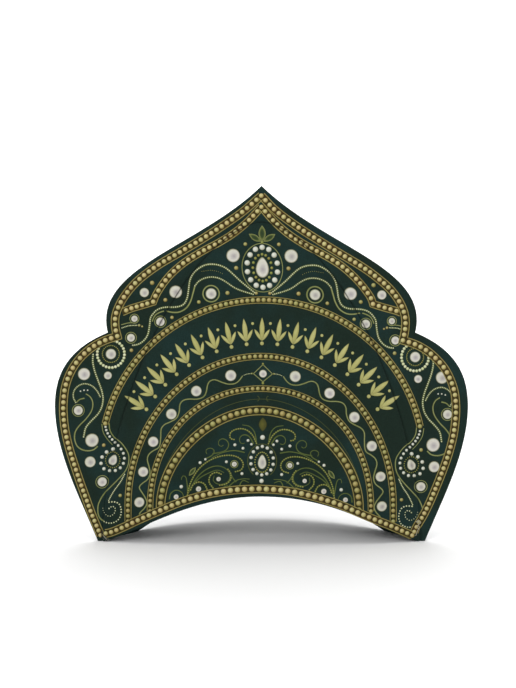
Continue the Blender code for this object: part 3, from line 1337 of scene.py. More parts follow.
@dataclass
class BackFelt:
    """The back panel's felt: a pocket for the head with a flat seam allowance.

    Attributes:
        face: The curve of the front that it is sewn to.
        outline: The front's outline, whose lower edge its own follows.
        gap: How far its allowance lies behind the front.
        deep, mouth: The pocket's greatest depth, and its depth at the floor.
        deepest: The height of the greatest depth.
        powers: How full the pocket is across, in its middle and at its sides.
        taper: How full it is towards its top.
        rim_drop: How far its lower edge hangs below that of the front.
        corner: Where on the arch the sheet's upper corners lie.
        pucker, gathers, pucker_reach: Depth, number and reach of the gathers along the seam.
        wave, wave_size, wave_reach: Depth and length of its soft waves, and where they are full.
        least: How far the pocket stands off the front beside the seam, at least.
        hang: How low its feet reach before they are cut level with the floor.
        rim, rim_turn: How far its cut edges are rounded, and which edges are.
    """

    face: FrontFace
    outline: Outline
    thick: float = 2.5 * MM
    gap: float = 0.4 * MM
    deep: float = 77 * MM
    mouth: float = 75 * MM
    deepest: float = 70 * MM
    powers: Pair = (2.1, 0.9)
    taper: float = 0.8
    rim_drop: float = 12 * MM
    allowance: float = 5 * MM
    corner: float = math.radians(62)
    pucker: float = 0.35 * MM
    gathers: float = 46
    pucker_reach: float = 9 * MM
    wave: float = 1.3 * MM
    wave_size: float = 60 * MM
    wave_reach: float = 25 * MM
    least: float = 0.2 * MM
    hang: float = -2 * MM
    rim: float = 0.7 * MM
    rim_turn: float = 55
    columns: int = 110
    rows: int = 70

    def build(self) -> bpy.types.Object:
        """Return the felt as a piece that stands for the back panel."""
        shape = self._sheet()
        bmesh.ops.recalc_face_normals(shape, faces=shape.faces)
        middle = min(shape.faces, key=lambda f: (f.calc_center_median().xz - Vector((0, 0.1))).length)
        if middle.normal.y > 0:
            bmesh.ops.reverse_faces(shape, faces=shape.faces)
        sheet = show("back_felt_sheet", mesh_from("back_felt", shape))
        solid = sheet.modifiers.new("felt", "SOLIDIFY")
        solid.thickness = self.thick
        solid.offset = -1.0
        solid.use_even_offset = True
        solid.use_quality_normals = True
        rim = sheet.modifiers.new("rim", "BEVEL")
        rim.width = self.rim
        rim.segments = 2
        rim.limit_method = "ANGLE"
        rim.angle_limit = math.radians(self.rim_turn)
        whole = settled(sheet)
        for vert in whole.verts:
            vert.co.z = max(vert.co.z, 0.0)
        final = finish_piece("back_felt", whole, BACK_FELT.material(), FELT_SHARP)
        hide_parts("back_panel")
        return final

    def behind(self, x: float, z: float) -> float:
        """Return the depth at which the felt lies against the front panel."""
        return self.face.depth(x, z) + self.face.thick + self.gap

    def pocket_depth(self, x: float, z: float) -> float:
        """Tell how far the pocket stands behind the seam at a place.

        Args:
            x: The place, across.
            z: The place, up.

        Returns:
            The depth in metres.
        """
        arch = self.face.pocket
        if z < self.deepest:
            sink = (self.deepest - z) / self.deepest
            deepest = self.deep - (self.deep - self.mouth) * sink * sink
        else:
            rise = min((z - self.deepest) / (arch.top - self.deepest), 1.0)
            deepest = self.deep * (1 - rise * rise) ** self.taper
        share = min(abs(x) / max(arch.half_width(z), 0.01 * MM), 1.0)
        return deepest * (1 - share ** self.powers[0]) ** self.powers[1]

    def softness(self, turn: float, edge: float, x: float, z: float) -> float:
        """Tell how far the felt strays from the smooth pocket.

        Args:
            turn: Where along the seam the place is.
            edge: Its distance from the seam, in metres.
            x: The place, across.
            z: The place, up.

        Returns:
            The stray in metres, outward.
        """
        gathers = self.pucker * math.cos(turn * self.gathers) * math.exp(-edge / self.pucker_reach)
        waves = noise(Vector((x, BACK_ROW, z * 0.7)) / self.wave_size) * self.wave
        return gathers + waves * min(edge / self.wave_reach, 1.0)

    def _rim(self, across: float, lowest: float) -> Vector:
        """Return a point of the lower edge, across from -1 to 1, no lower than a height."""
        x = self.face.pocket.half * across
        return Vector((x, max(self.outline.brow_height(x) - self.rim_drop, lowest)))

    def _crown(self, across: float) -> Vector:
        """Return a point of the top edge, across from -1 to 1."""
        return self.face.pocket.point(math.pi / 2 - across * (math.pi / 2 - self.corner))

    def _place(self, across: float, up: float) -> Vector:
        """Find a point of the sheet in the plane of the front.

        Args:
            across: From -1 to 1.
            up: From 0 to 1.

        Returns:
            The point, blended between the sheet's four edges.
        """
        share = (across + 1) / 2
        arch = self.face.pocket
        left, right = arch.point(math.pi - self.corner * up), arch.point(self.corner * up)
        level = self._rim(across, 0.0).lerp(self._crown(across), up) + left.lerp(right, share)
        low = self._rim(-1, 0.0).lerp(self._rim(1, 0.0), share)
        return level - low.lerp(self._crown(-1).lerp(self._crown(1), share), up)

    def _sheet(self) -> bmesh.types.BMesh:
        """Return the open sheet, from its rim up to the end of the allowance."""
        shape = bmesh.new()
        bmesh.ops.create_grid(shape, x_segments=self.columns, y_segments=self.rows, size=1.0)
        arch = self.face.pocket
        sewn = set()
        for vert in shape.verts:
            side, row = vert.co.x, (vert.co.y + 1) / 2
            across = math.sin(side * math.pi / 2)
            x, z = self._place(across, math.sin(row * math.pi / 2))
            depth = self.behind(math.copysign(arch.half_width(z), x), z)
            if max(abs(side), row) > 1 - NEAR_EDGE:
                sewn.add(vert)
            else:
                turn = math.atan2(z / arch.top, x / arch.half)
                edge = max(-arch.distance(x, z), 0.0)
                depth += max(self.pocket_depth(x, z) + self.softness(turn, edge, x, z), self.least)
            if row < NEAR_EDGE:
                z = self._rim(across, self.hang).y
            vert.co = (x, depth, z)
        edges = [edge for edge in shape.edges if edge.is_boundary and sewn.issuperset(edge.verts)]
        for _ in range(2):
            made = bmesh.ops.extrude_edge_only(shape, edges=edges)["geom"]
            for vert in of_kind(made, bmesh.types.BMVert):
                turn = math.atan2(
                    (max(vert.co.z, 0.0) / arch.top) ** (arch.power / 2),
                    math.copysign((abs(vert.co.x) / arch.half) ** (arch.power / 2), vert.co.x),
                )
                out = arch.outward(turn) * self.allowance / 2
                x, z = vert.co.x + out.x, vert.co.z + out.y
                vert.co = (x, self.behind(x, z), z)
            edges = of_kind(made, bmesh.types.BMEdge)
        return shape


@dataclass
class Seam:
    """The stitches that join the panels, and the thread ends at their feet.

    Attributes:
        face: The face of the front.
        back: The back felt, whose allowance the stitches go through.
        sight: Where the thread ends' places are seen from.
        pitch, stitch, thread: Distance, half length and radius of the stitches, in millimetres.
        sunk, dip: How far the front's stitches lie in the groove, and how far their ends dip.
        lift: How far each thread end lies over the one before it.
    """

    face: FrontFace
    back: BackFelt
    sight: Sight
    pitch: float = 3.1
    stitch: float = 1.25
    thread: float = 0.2
    sunk: float = 0.25
    dip: float = 0.25
    lift: float = 0.45

    def build(self) -> None:
        """Make the stitches on both sides and the thread ends."""
        for name, behind in (("seam_stitches_front", False), ("seam_stitches_back", True)):
            shape = bmesh.new()
            for place, heading, _ in self.face.seam.path().spots(self.pitch, ends=(2.0, 2.0)):
                self._stitch(shape, place, heading, behind)
            finish_piece(name, shape, GREEN_THREAD.material(), FELT_SHARP)
        self._tails()

    def _stitch(self, shape: bmesh.types.BMesh, place: Vector, heading: Vector, behind: bool) -> None:
        """Add one stitch.

        Args:
            shape: The mesh that it is added to.
            place: Its middle in the plane of the front.
            heading: The direction of the seam.
            behind: Whether it lies on the back of the allowance.
        """
        made = bmesh.ops.create_uvsphere(shape, u_segments=8, v_segments=6, radius=1.0)
        for vert in made["verts"]:
            along, out, side = vert.co.z, vert.co.y, vert.co.x
            spot = place + heading * (along * self.stitch * MM)
            spot += left_of(heading) * (side * self.thread * MM)
            if behind:
                base = self.back.behind(spot.x, spot.y) + self.back.thick
            else:
                base = self.face.depth(spot.x, spot.y) + self.face.relief(spot.x, spot.y)
            sink = (abs(along) ** 3) * self.dip * MM
            stray = out * self.thread * MM + (-sink if behind else sink + self.sunk * MM)
            vert.co = (spot.x, base + stray, spot.y)

    def _tails(self) -> None:
        """Make the short thread ends that hang at the seam's feet."""
        runs = {
            "thread_ends_left": (GREEN_THREAD, 0.25, (
                ((-139.3, 9), (-138.4, 5), (-137.8, 2.6), (-134.8, 0.8)),
                ((-139.4, 8), (-140, 4), (-138, 1.2), (-136, 0.6)),
            )),
            "pale_hairs_left": (PALE_THREAD, 0.12, (
                ((-138.4, 5.6), (-137.2, 3), (-134.4, 0.6)),
                ((-138, 4.6), (-135.8, 2.8), (-133.6, 1.4)),
            )),
            "thread_ends_right": (PALE_THREAD, 0.26, (
                (
                    (136.6, 18.4), (134.8, 16.6), (137.5, 15.7), (136.3, 13.5), (137.4, 11.8),
                    (136, 9.7), (134.9, 7.2), (134, 4.6),
                ),
                (
                    (133.8, 16.9), (136.4, 17.6), (138.4, 15.9), (136.4, 14.4), (134.9, 12.6),
                    (136.8, 10.6),
                ),
            )),
        }
        for name, (finish, thick, lines) in runs.items():
            curve = bpy.data.curves.new(name, "CURVE")
            curve.dimensions = "3D"
            curve.bevel_depth = thick * MM
            curve.bevel_resolution = 2
            curve.use_fill_caps = True
            for number, line in enumerate(lines):
                spline = curve.splines.new("POLY")
                points = Path.through(line, 6).points
                spline.points.add(len(points) - 1)
                for target, point in zip(spline.points, points):
                    x, z = self.sight.onto(self.face, point.x, point.y)
                    y = self.face.depth(x, z) + self.face.relief(x, z) - self.lift * (number + 1) * MM
                    target.co = (x, y, max(z, 0.3 * MM), 1.0)
            shape = settled(show(name, curve))
            bmesh.ops.remove_doubles(shape, verts=shape.verts, dist=0.001 * MM)
            finish_piece(name, shape, finish.material(), FELT_SHARP)


Sheets = tuple[PrintSheet, ...]


@dataclass(frozen=True)
class BeadBand:
    """A band with a row of beads between two thin lines, in millimetres.

    Attributes:
        beads: Diameter of its beads, at its start and at its end.
        pitches: Distance between them, at its start and at its end.
        half: Distance from its middle to each line.
        line: Width of each line.
    """

    beads: Pair
    pitches: Pair
    half: float
    line: float = 0.8

    def fill(self, path: Path, sheets: Sheets, bare: Pair = (0.0, 0.0)) -> None:
        """Draw the band's ground and beads along a line.

        Args:
            path: The line.
            sheets: The sheets of the band, its lines and its beads.
            bare: Length without beads at the row's start and end.
        """
        sheets[0].ribbon(path, self.half * 2, rows=4)
        last = (self.beads[1], self.pitches[1])
        sheets[2].row(path, self.beads[0], self.pitches[0], last, bare, sides=14)

    def draw(self, path: Path, sheets: Sheets, bare: Pair = (0.0, 0.0)) -> None:
        """Draw the whole band along a line.

        Args:
            path: The line.
            sheets: The sheets of the band, its lines and its beads.
            bare: Length without beads at the row's start and end.
        """
        self.fill(path, sheets, bare)
        for side in (-1, 1):
            sheets[1].ribbon(path.beside(side * self.half * MM), self.line)

    def turn(
        self, first: Path, second: Path, sheets: Sheets, bare: Pair = (0.0, 0.0)
    ) -> None:
        """Draw the band along two lines that meet in a corner.

        Args:
            first: The line that leads to the corner.
            second: The line that leads away from it.
            sheets: The sheets of the band, its lines and its beads.
            bare: Length without beads at the start of the first line and the end of the second.
        """
        self.fill(first, sheets, (bare[0], 0.0))
        self.fill(second, sheets, (self.pitches[1], bare[1]))
        self.edges(first, second, sheets)

    def edges(self, first: Path, second: Path, sheets: Sheets) -> None:
        """Draw the thin lines on both sides of two lines that meet in a corner.

        Args:
            first: The line that leads to the corner.
            second: The line that leads away from it.
            sheets: The sheets of the band, its lines and its beads.
        """
        for off in (-self.half * MM, self.half * MM):
            for line in mitred(first.beside(off), second.beside(off)):
                sheets[1].ribbon(line, self.line)


@dataclass(frozen=True)
class Border:
    """The beaded border along the cut outline, printed a little off the cut, as seen from the front.

    The tables give its middle line on the left and on the right, in millimetres, from the apex down
    to the shoulder, from there down to the foot, and from the middle of the brow out to the foot. The
    inner ogee and its spurs follow in the same way. Both halves of a line share its first bead.
    """

    ogees: tuple[Places, Places] = (
        (
            (-0.6, 301), (-17.5, 286.5), (-36.4, 273.4), (-54.7, 261.7), (-72.2, 251.3), (-90.3, 240.6),
            (-103.8, 230.8), (-111.8, 223.4), (-118.7, 215), (-124.2, 205.9), (-127.7, 196.2),
            (-127.9, 186.6), (-126.1, 178.5),
        ),
        (
            (-0.6, 301), (11.3, 288.6), (29.6, 274.8), (48.3, 262.7), (66.2, 251.7), (84.1, 241),
            (93.2, 235), (101.9, 228.3), (110.2, 221.1), (117.1, 212.8), (122.3, 203.6), (124.9, 194),
            (124.7, 184), (122.8, 174.9),
        ),
    )
    wings: tuple[Places, Places] = (
        (
            (-126.1, 178.5), (-137, 174.8), (-146.9, 169.6), (-155.7, 162.5), (-162.7, 154.2),
            (-167.9, 144.9), (-171.4, 134.5), (-172.9, 123.6), (-173.2, 112.4), (-171.5, 96.1),
            (-167.9, 80.5), (-163.4, 65.9), (-158.6, 51.5), (-153.7, 37.9), (-148.9, 24.7),
            (-143.8, 12.2), (-140.8, 4.9),
        ),
        (
            (122.8, 174.9), (133.7, 171.4), (143.6, 166), (152.1, 158.7), (159.1, 150.5),
            (164.1, 141.1), (167.5, 131.1), (168.9, 120.6), (168.9, 109.6), (167, 93.2), (163.1, 77.6),
            (158.1, 62.9), (152.7, 49.2), (147, 35.6), (141.2, 23.4), (134.6, 11.9), (132.8, 8),
        ),
    )
    brows: tuple[Places, Places] = (
        (
            (-2.5, 45.5), (-15.6, 45.1), (-28, 44), (-45.5, 41.2), (-62, 36.9), (-77.3, 31.5),
            (-92, 25.2), (-106.8, 18.7), (-121.5, 11.8), (-131.4, 7.7), (-136.3, 6.5),
        ),
        (
            (-2.5, 45.5), (10, 44.9), (22.5, 43.6), (34.6, 41.4), (51.7, 36.8), (67.8, 31.6),
            (83.1, 25.1), (97.4, 19.1), (111.8, 13.4), (126, 7.1), (131, 4.8),
        ),
    )
    inner_ogees: tuple[Places, Places] = (
        (
            (-0.5, 291.2), (-11.8, 279.1), (-24, 268.8), (-37.3, 260.3), (-51, 253.1), (-64.6, 244.9),
            (-73.6, 238), (-81.1, 230.7), (-87.6, 222.3), (-92.9, 213.4), (-94.8, 208.5),
        ),
        (
            (-0.5, 291.2), (11.1, 278), (23.5, 267.3), (37, 258.5), (51, 251), (65, 242.8),
            (73.7, 236.3), (81.9, 228.6), (89.1, 220.3), (95, 211.7), (96.8, 206.5),
        ),
    )
    spurs: tuple[Places, Places] = (
        ((-94.8, 208.5), (-104.4, 205.6), (-113.8, 202.8), (-122, 199.4)),
        ((96.8, 206.5), (106.4, 203.5), (116.3, 200.8), (121, 199)),
    )
    edge: BeadBand = BeadBand((4.35, 4.3), (5.45, 5.05), 3.3)
    wing: BeadBand = BeadBand((4.5, 3.9), (5.55, 4.55), 3.2)
    brow: BeadBand = BeadBand((5.2, 4.1), (6.4, 4.9), 3.3)
    inner: BeadBand = BeadBand((4.1, 4.3), (5.15, 5.35), 3.0)
    spur_end: float = 4.0

    def draw(self, sheets: Sheets) -> None:
        """Draw the border all round.

        Args:
            sheets: The sheets of the band, its lines and its beads.
        """
        for side, tables in enumerate(zip(self.ogees, self.wings, self.brows)):
            ogee, wing, brow = (Path.through(table) for table in tables)
            self.edge.fill(ogee, sheets, (side * self.edge.pitches[0], 0.0))
            self.wing.fill(wing, sheets, (self.wing.pitches[0], 0.0))
            self.edge.edges(ogee, wing, sheets)
            self.brow.draw(brow, sheets, (side * self.brow.pitches[0], 0.0))

    def draw_inner(self, sheets: Sheets) -> None:
        """Draw the second, inner ogee with the short spurs that join it to the border.

        Args:
            sheets: The sheets of the band, its lines and its beads.
        """
        for side, tables in enumerate(zip(self.inner_ogees, self.spurs)):
            ogee, spur = (Path.through(table) for table in tables)
            self.inner.turn(ogee, spur, sheets, (side * self.inner.pitches[0], self.spur_end))


@dataclass(frozen=True)
class BeadedArch:
    """One beaded arch over the forehead, in millimetres.

    Attributes:
        left: Where its left side stands.
        right: Where its right side stands.
        spring: The height at which its sides start to lean in.
        top: Its height.
        fullness: How square its shoulders are; 0.55 makes an ellipse.
        foot: The height of its feet.
        band: Its row of beads and lines, or None for a plain line.
    """

    left: float
    right: float
    spring: float
    top: float
    fullness: float
    foot: float
    band: BeadBand | None = None

    def path(self) -> Path:
        """Return its middle line, from the left foot to the right one."""
        middle = (self.left + self.right) / 2
        sides = []
        for edge in (self.left, self.right):
            high = self.spring + (self.top - self.spring) * self.fullness
            pull = middle + (edge - middle) * self.fullness
            sides.append(((edge, self.spring), (edge, high), (pull, self.top), (middle, self.top)))
        left, right = Path.curves((sides[0],)), Path.curves((tuple(reversed(sides[1])),))
        feet = [Vector((edge, self.foot)) * MM for edge in (self.left, self.right)]
        return Path((feet[0], *left.points, *right.points[1:], feet[1]))


@dataclass(frozen=True)
class Arches:
    """The beaded arches over the forehead: the widest, part of an ellipse, and those inside it.

    Attributes:
        centre, radii, turns: The widest one's middle, half width and height, and start and end.
        widest: The widest one's band.
        inner: The others, from the outside in.
    """

    centre: Pair = (0.3, 69.5)
    radii: Pair = (140.8, 140.6)
    turns: Pair = (166.5, 12.5)
    widest: BeadBand = BeadBand((4.2, 4.2), (4.75, 4.75), 2.75, 0.65)
    inner: tuple[BeadedArch, ...] = (
        BeadedArch(-116.8, 114.4, 31.5, 161, 0.552, 17, BeadBand((3.9, 3.9), (4.7, 4.7), 2.7, 0.6)),
        BeadedArch(-97.6, 95.0, 29, 132.9, 0.58, 26, BeadBand((3.65, 3.65), (4.55, 4.55), 2.5, 0.6)),
        BeadedArch(-88.5, 84.6, 29, 113.8, 0.505, 27, BeadBand((5.0, 5.0), (5.75, 5.75), 3.7, 0.8)),
    )

    def draw(self, sheets: Sheets) -> None:
        """Draw the four beaded arches.

        Args:
            sheets: The sheets of the band, its lines and its beads.
        """
        self.widest.draw(Path.arc(self.centre, self.radii, self.turns), sheets)
        for arch in self.inner:
            arch.band.draw(arch.path(), sheets)


@dataclass
class PalmetteBand:
    """The broad band between the first two arches, filled with a row of plain palmettes.

    Attributes:
        centre: Middle of the row's ellipse, (x, z) in millimetres.
        radii: Its half width and half height.
        turns: Where the row starts and ends, in degrees.
        pitch: Distance between palmettes.
        leaf, side_leaf: Half width and half height of the leaves.
        rise, root, out, spread: How far the middle leaf stands up, how far down and out the side
            leaves start, and how far they lean.
        foot, foot_drop: Radius and place of the round foot.
        dot, dot_rise: Diameter and place of the dots between palmettes.
    """

    centre: Pair = (0.0, 50.0)
    radii: Pair = (129.0, 132.5)
    turns: Pair = (148.0, 32.0)
    pitch: float = 14.6
    leaf: Pair = (2.3, 10.5)
    side_leaf: Pair = (1.5, 6.2)
    rise: float = 2
    root: float = 3.0
    out: float = 3.3
    spread: float = 33
    foot: float = 1.7
    foot_drop: float = 10.2
    dot: float = 2.6
    dot_rise: float = 7.5

    def draw(self, sheet: PrintSheet, dots: PrintSheet) -> None:
        """Draw the row.

        Args:
            sheet: The sheet of the palmettes.
            dots: The sheet of the dots between them.
        """
        spots = Path.arc(self.centre, self.radii, self.turns).spots(self.pitch)
        for place, heading, _ in spots:
            lean = math.degrees(math.atan2(heading.y, heading.x))
            up = left_of(heading)
            sheet.blot(place + up * self.rise * MM, self.leaf, Form.LEAF, lean, 18)
            for side in (-1, 1):
                root = place - up * self.root * MM + heading * side * self.out * MM
                sheet.blot(root, self.side_leaf, Form.LEAF, lean - side * self.spread, 16)
            foot = place - up * self.foot_drop * MM
            sheet.blot(foot, (self.foot, self.foot), Form.ROUND, lean, 12)
        for (place, heading, _), (after, _, _) in zip(spots, spots[1:]):
            dots.bead(place.lerp(after, 0.5) + left_of(heading) * self.dot_rise * MM, self.dot)


@dataclass(frozen=True)
class Gem:
    """A pearl or bead of the ornament, on both sides of the middle.

    Attributes:
        x: Its distance from the middle, in millimetres.
        z: Its height.
        radius: Its radius.
        ring: Radius of the fine ring around it, or 0 for none.
    """

    x: float
    z: float
    radius: float
    ring: float = 0.0

    def places(self) -> list[Vector]:
        """Return where it stands, once in the middle and twice elsewhere."""
        sides = (1,) if self.x == 0 else (1, -1)
        return [Vector((side * self.x * MM, self.z * MM)) for side in sides]


@dataclass
class Palette:
    """The sheets that the ornament of the field is drawn on, from the lowest layer up."""

    PEARL_SIZE: ClassVar[float] = 2.5
    BIG_RING: ClassVar[float] = 6.0

    lines: PrintSheet
    strings: PrintSheet
    faint: PrintSheet
    vines: PrintSheet
    buds: PrintSheet
    tiny: PrintSheet
    olive: PrintSheet
    white: PrintSheet
    gold: PrintSheet
    pearls: PrintSheet
    leaves: PrintSheet

    @classmethod
    def fresh(cls, sight: Sight) -> "Palette":
        """Make empty sheets, from the lowest layer up.

        Args:
            sight: Where their places are seen from.

        Returns:
            The palette.
        """
        inks = {
            Layer.FIELD_LINE: (
                ("print_field_lines", OLIVE_LINE),
                ("print_string_lines", STRING_LINE),
                ("print_faint_lines", FAINT_LINE),
                ("print_vines", VINE_LINE),
                ("print_bud", BUD_INK),
            ),
            Layer.FIELD_BEAD: (
                ("print_tiny_beads", TINY_BEAD),
                ("print_olive_beads", OLIVE_BEAD),
                ("print_white_beads", WHITE_BEAD),
                ("print_gold_dots", GOLD_BEAD),
                ("print_pearls", PEARL),
                ("print_leaves", LEAF_INK),
            ),
        }
        pots = ((name, ink, layer) for layer, row in inks.items() for name, ink in row)
        return cls(*(PrintSheet(*pot, sight, True) for pot in pots))

    def sheets(self) -> Sheets:
        """Return all the sheets, from the lowest layer up."""
        return tuple(vars(self).values())

    def both(self, path: Path) -> tuple[Path, Path]:
        """Return a line and its mirror image."""
        return path, path.mirrored()

    def stroke(
        self,
        sheet: PrintSheet,
        places: Places,
        width: float,
        last: float | None = None,
        beads: tuple[PrintSheet, float, float] | None = None,
    ) -> None:
        """Draw a smooth line on both sides.

        Args:
            sheet: The sheet that it is drawn on.
            places: Places that it passes, in millimetres, on the right.
            width: Its width.
            last: Its width at the end, or None where it stays the same.
            beads: For beads along it their sheet, diameter and distance, or None.
        """
        for path in self.both(Path.through(places)):
            sheet.ribbon(path, width, last)
            if beads is not None:
                beads[0].row(path, beads[1], beads[2], sides=8)

    def line(self, places: Places, width: float, last: float | None = None) -> None:
        """Draw a plain line of a width, and of another at its end, on both sides."""
        self.stroke(self.lines, places, width, last)

    def string(
        self, places: Places, width: float = 2.2, bead: float = 1.25, pitch: float = 1.8
    ) -> None:
        """Draw a string of tiny beads of a diameter and distance on both sides."""
        self.stroke(self.strings, places, width, beads=(self.tiny, bead, pitch))

    def set_gems(self, sheet: PrintSheet, gems: tuple[Gem, ...]) -> None:
        """Set pearls or beads.

        Args:
            sheet: The sheet that they are drawn on.
            gems: The pearls or beads.
        """
        for gem in gems:
            for place in gem.places():
                sheet.bead(place, gem.radius * 2, 28 if gem.radius > self.PEARL_SIZE else 14)
                if gem.ring:
                    centre = (place.x / MM, place.y / MM)
                    ring = Path.arc(centre, (gem.ring, gem.ring), WHOLE_TURN)
                    self.lines.ribbon(ring, 1.3 if gem.ring > self.BIG_RING else 0.7, cell=1.2)

    def wreath(
        self,
        sheet: PrintSheet,
        centre: Pair,
        radii: Pair,
        beads: tuple[int, float],
    ) -> None:
        """Set beads round an ellipse, the first one at its top.

        Args:
            sheet: The sheet that they are drawn on.
            centre: Its middle, in millimetres.
            radii: Its half width and half height.
            beads: How many beads, and their diameter.
        """
        count, diameter = beads
        for number in range(count):
            turn = math.radians(90 + 360 * number / count)
            place = (centre[0] + radii[0] * math.cos(turn), centre[1] + radii[1] * math.sin(turn))
            sheet.bead(Vector(place) * MM, diameter, 14 if diameter > 2 else 8)


@dataclass
class UpperField:
    """The ornament over the first arch: a medallion, leaves, strings and pearls."""

    medallion: Pair = (0.0, 238.6)
    pearls: tuple[Gem, ...] = (
        Gem(25.3, 248.9, 5.9), Gem(45.3, 215.6, 4.8, 7.1), Gem(76.2, 217.1, 5.6),
        Gem(103.5, 216.6, 4.1), Gem(89.6, 191.1, 3.9, 5.0), Gem(112.2, 193.8, 2.9, 4.0),
        Gem(115.2, 177.2, 3.6, 4.8),
    )
    dots: tuple[Gem, ...] = (
        Gem(14.6, 258.8, 1.7), Gem(22.8, 238.0, 1.9), Gem(96.5, 225.0, 2.0), Gem(85.2, 210.1, 1.8),
        Gem(56.0, 208.3, 1.7), Gem(31.0, 216.2, 1.9), Gem(79.4, 194.8, 1.6), Gem(114.7, 166.2, 1.7),
        Gem(108.0, 188.0, 1.2), Gem(105.4, 187.0, 0.9), Gem(5.9, 216.0, 1.5),
    )
    outer_string: Places = (
        (7.4, 216.5), (18.8, 226), (30.6, 237), (36.6, 240.1), (43.9, 241.3), (50.1, 240.4),
        (56.3, 237), (60.7, 232.7), (63.5, 227.2), (64.9, 219.3), (66.1, 212), (69.2, 206.4),
        (75.3, 204), (86.3, 203.6), (92.4, 201.5), (96, 197.9), (98.2, 194.3), (98.8, 189),
        (100.2, 180.8), (102.2, 176.8), (105.7, 173.2), (109.7, 171.2), (113.5, 170.6),
    )
    inner_string: Places = (
        (8.6, 215), (20.3, 218.7), (26.3, 221.7), (32.3, 226), (38.3, 229.1), (44.4, 230.1),
        (50.5, 229.1), (55.5, 226.6), (59.3, 222.4),
    )
    comb: Places = ((35, 233), (39.2, 234.9), (45.3, 236), (52.8, 234.9))
    inner_lines: tuple[Places, ...] = (
        (
            (59.3, 222.4), (61.2, 215.6), (63, 209.5), (66.7, 203.4), (72.8, 199.7), (78.9, 199.3),
            (84.5, 200.3),
        ),
        ((86.5, 200.4), (90.1, 199.3), (93.6, 197.3), (95.4, 194.7), (96.6, 191.3)),
        ((123.6, 188.5), (117, 190.2), (110.1, 190.4), (109.2, 193)),
    )
    twig: Places = ((123, 185.7), (117.1, 187.6), (110.1, 188))
    leaves: tuple[tuple[int, Pair, float], ...] = (
        (-1, (2.5, 6.2), 6.4), (0, (3.1, 7.0), 7.0), (1, (2.5, 6.2), 6.4)
    )
    leaf_lean: float = 58
    leaf_step: float = 0.8
    leaf_rise: float = 22.4

    def draw(self, palette: Palette) -> None:
        """Draw the ornament.

        Args:
            palette: The sheets that it is drawn on.
        """
        palette.string(self.outer_string)
        palette.string(self.inner_string, 2.0, 1.1, 1.7)
        for number, places in enumerate(self.inner_lines):
            palette.line(places, 1.5 - 0.3 * number, 1.3 - 0.3 * number)
        palette.string(self.twig, 1.4, 0.9, 1.3)
        self._comb(palette)
        palette.set_gems(palette.pearls, self.pearls)
        palette.set_gems(palette.gold, self.dots)
        self._medallion(palette)

    def _comb(self, palette: Palette) -> None:
        """Draw the faint row of dots between the two strings."""
        for path in palette.both(Path.through(self.comb)):
            palette.olive.row(path, 0.7, 1.9, sides=6)

    def _medallion(self, palette: Palette) -> None:
        """Draw the drop-shaped pearl with its wreaths and the three leaves over it.

        Args:
            palette: The sheets that it is drawn on.
        """
        x, z = self.medallion
        palette.pearls.blot(Vector((x, z - 1.4)) * MM, (5.8, 7.75), Form.DROP, sides=36)
        palette.wreath(palette.olive, (x, z - 0.4), (8.25, 11.7), (16, 2.6))
        palette.wreath(palette.white, (x, z), (13.4, 17.4), (14, 5.0))
        palette.lines.ribbon(Path.arc((x, z - 0.3), (17.7, 21.2), WHOLE_TURN), 0.8, cell=1.5)
        for number, size, reach in self.leaves:
            lean = self.leaf_lean * number
            root = Vector((x + self.leaf_step * number, z + self.leaf_rise))
            tip = Vector((math.sin(math.radians(lean)), math.cos(math.radians(lean))))
            palette.leaves.blot((root + tip * reach) * MM, size, Form.LEAF, -lean, 24)
        palette.set_gems(palette.olive, (Gem(0, z + 21.8, 1.3),))


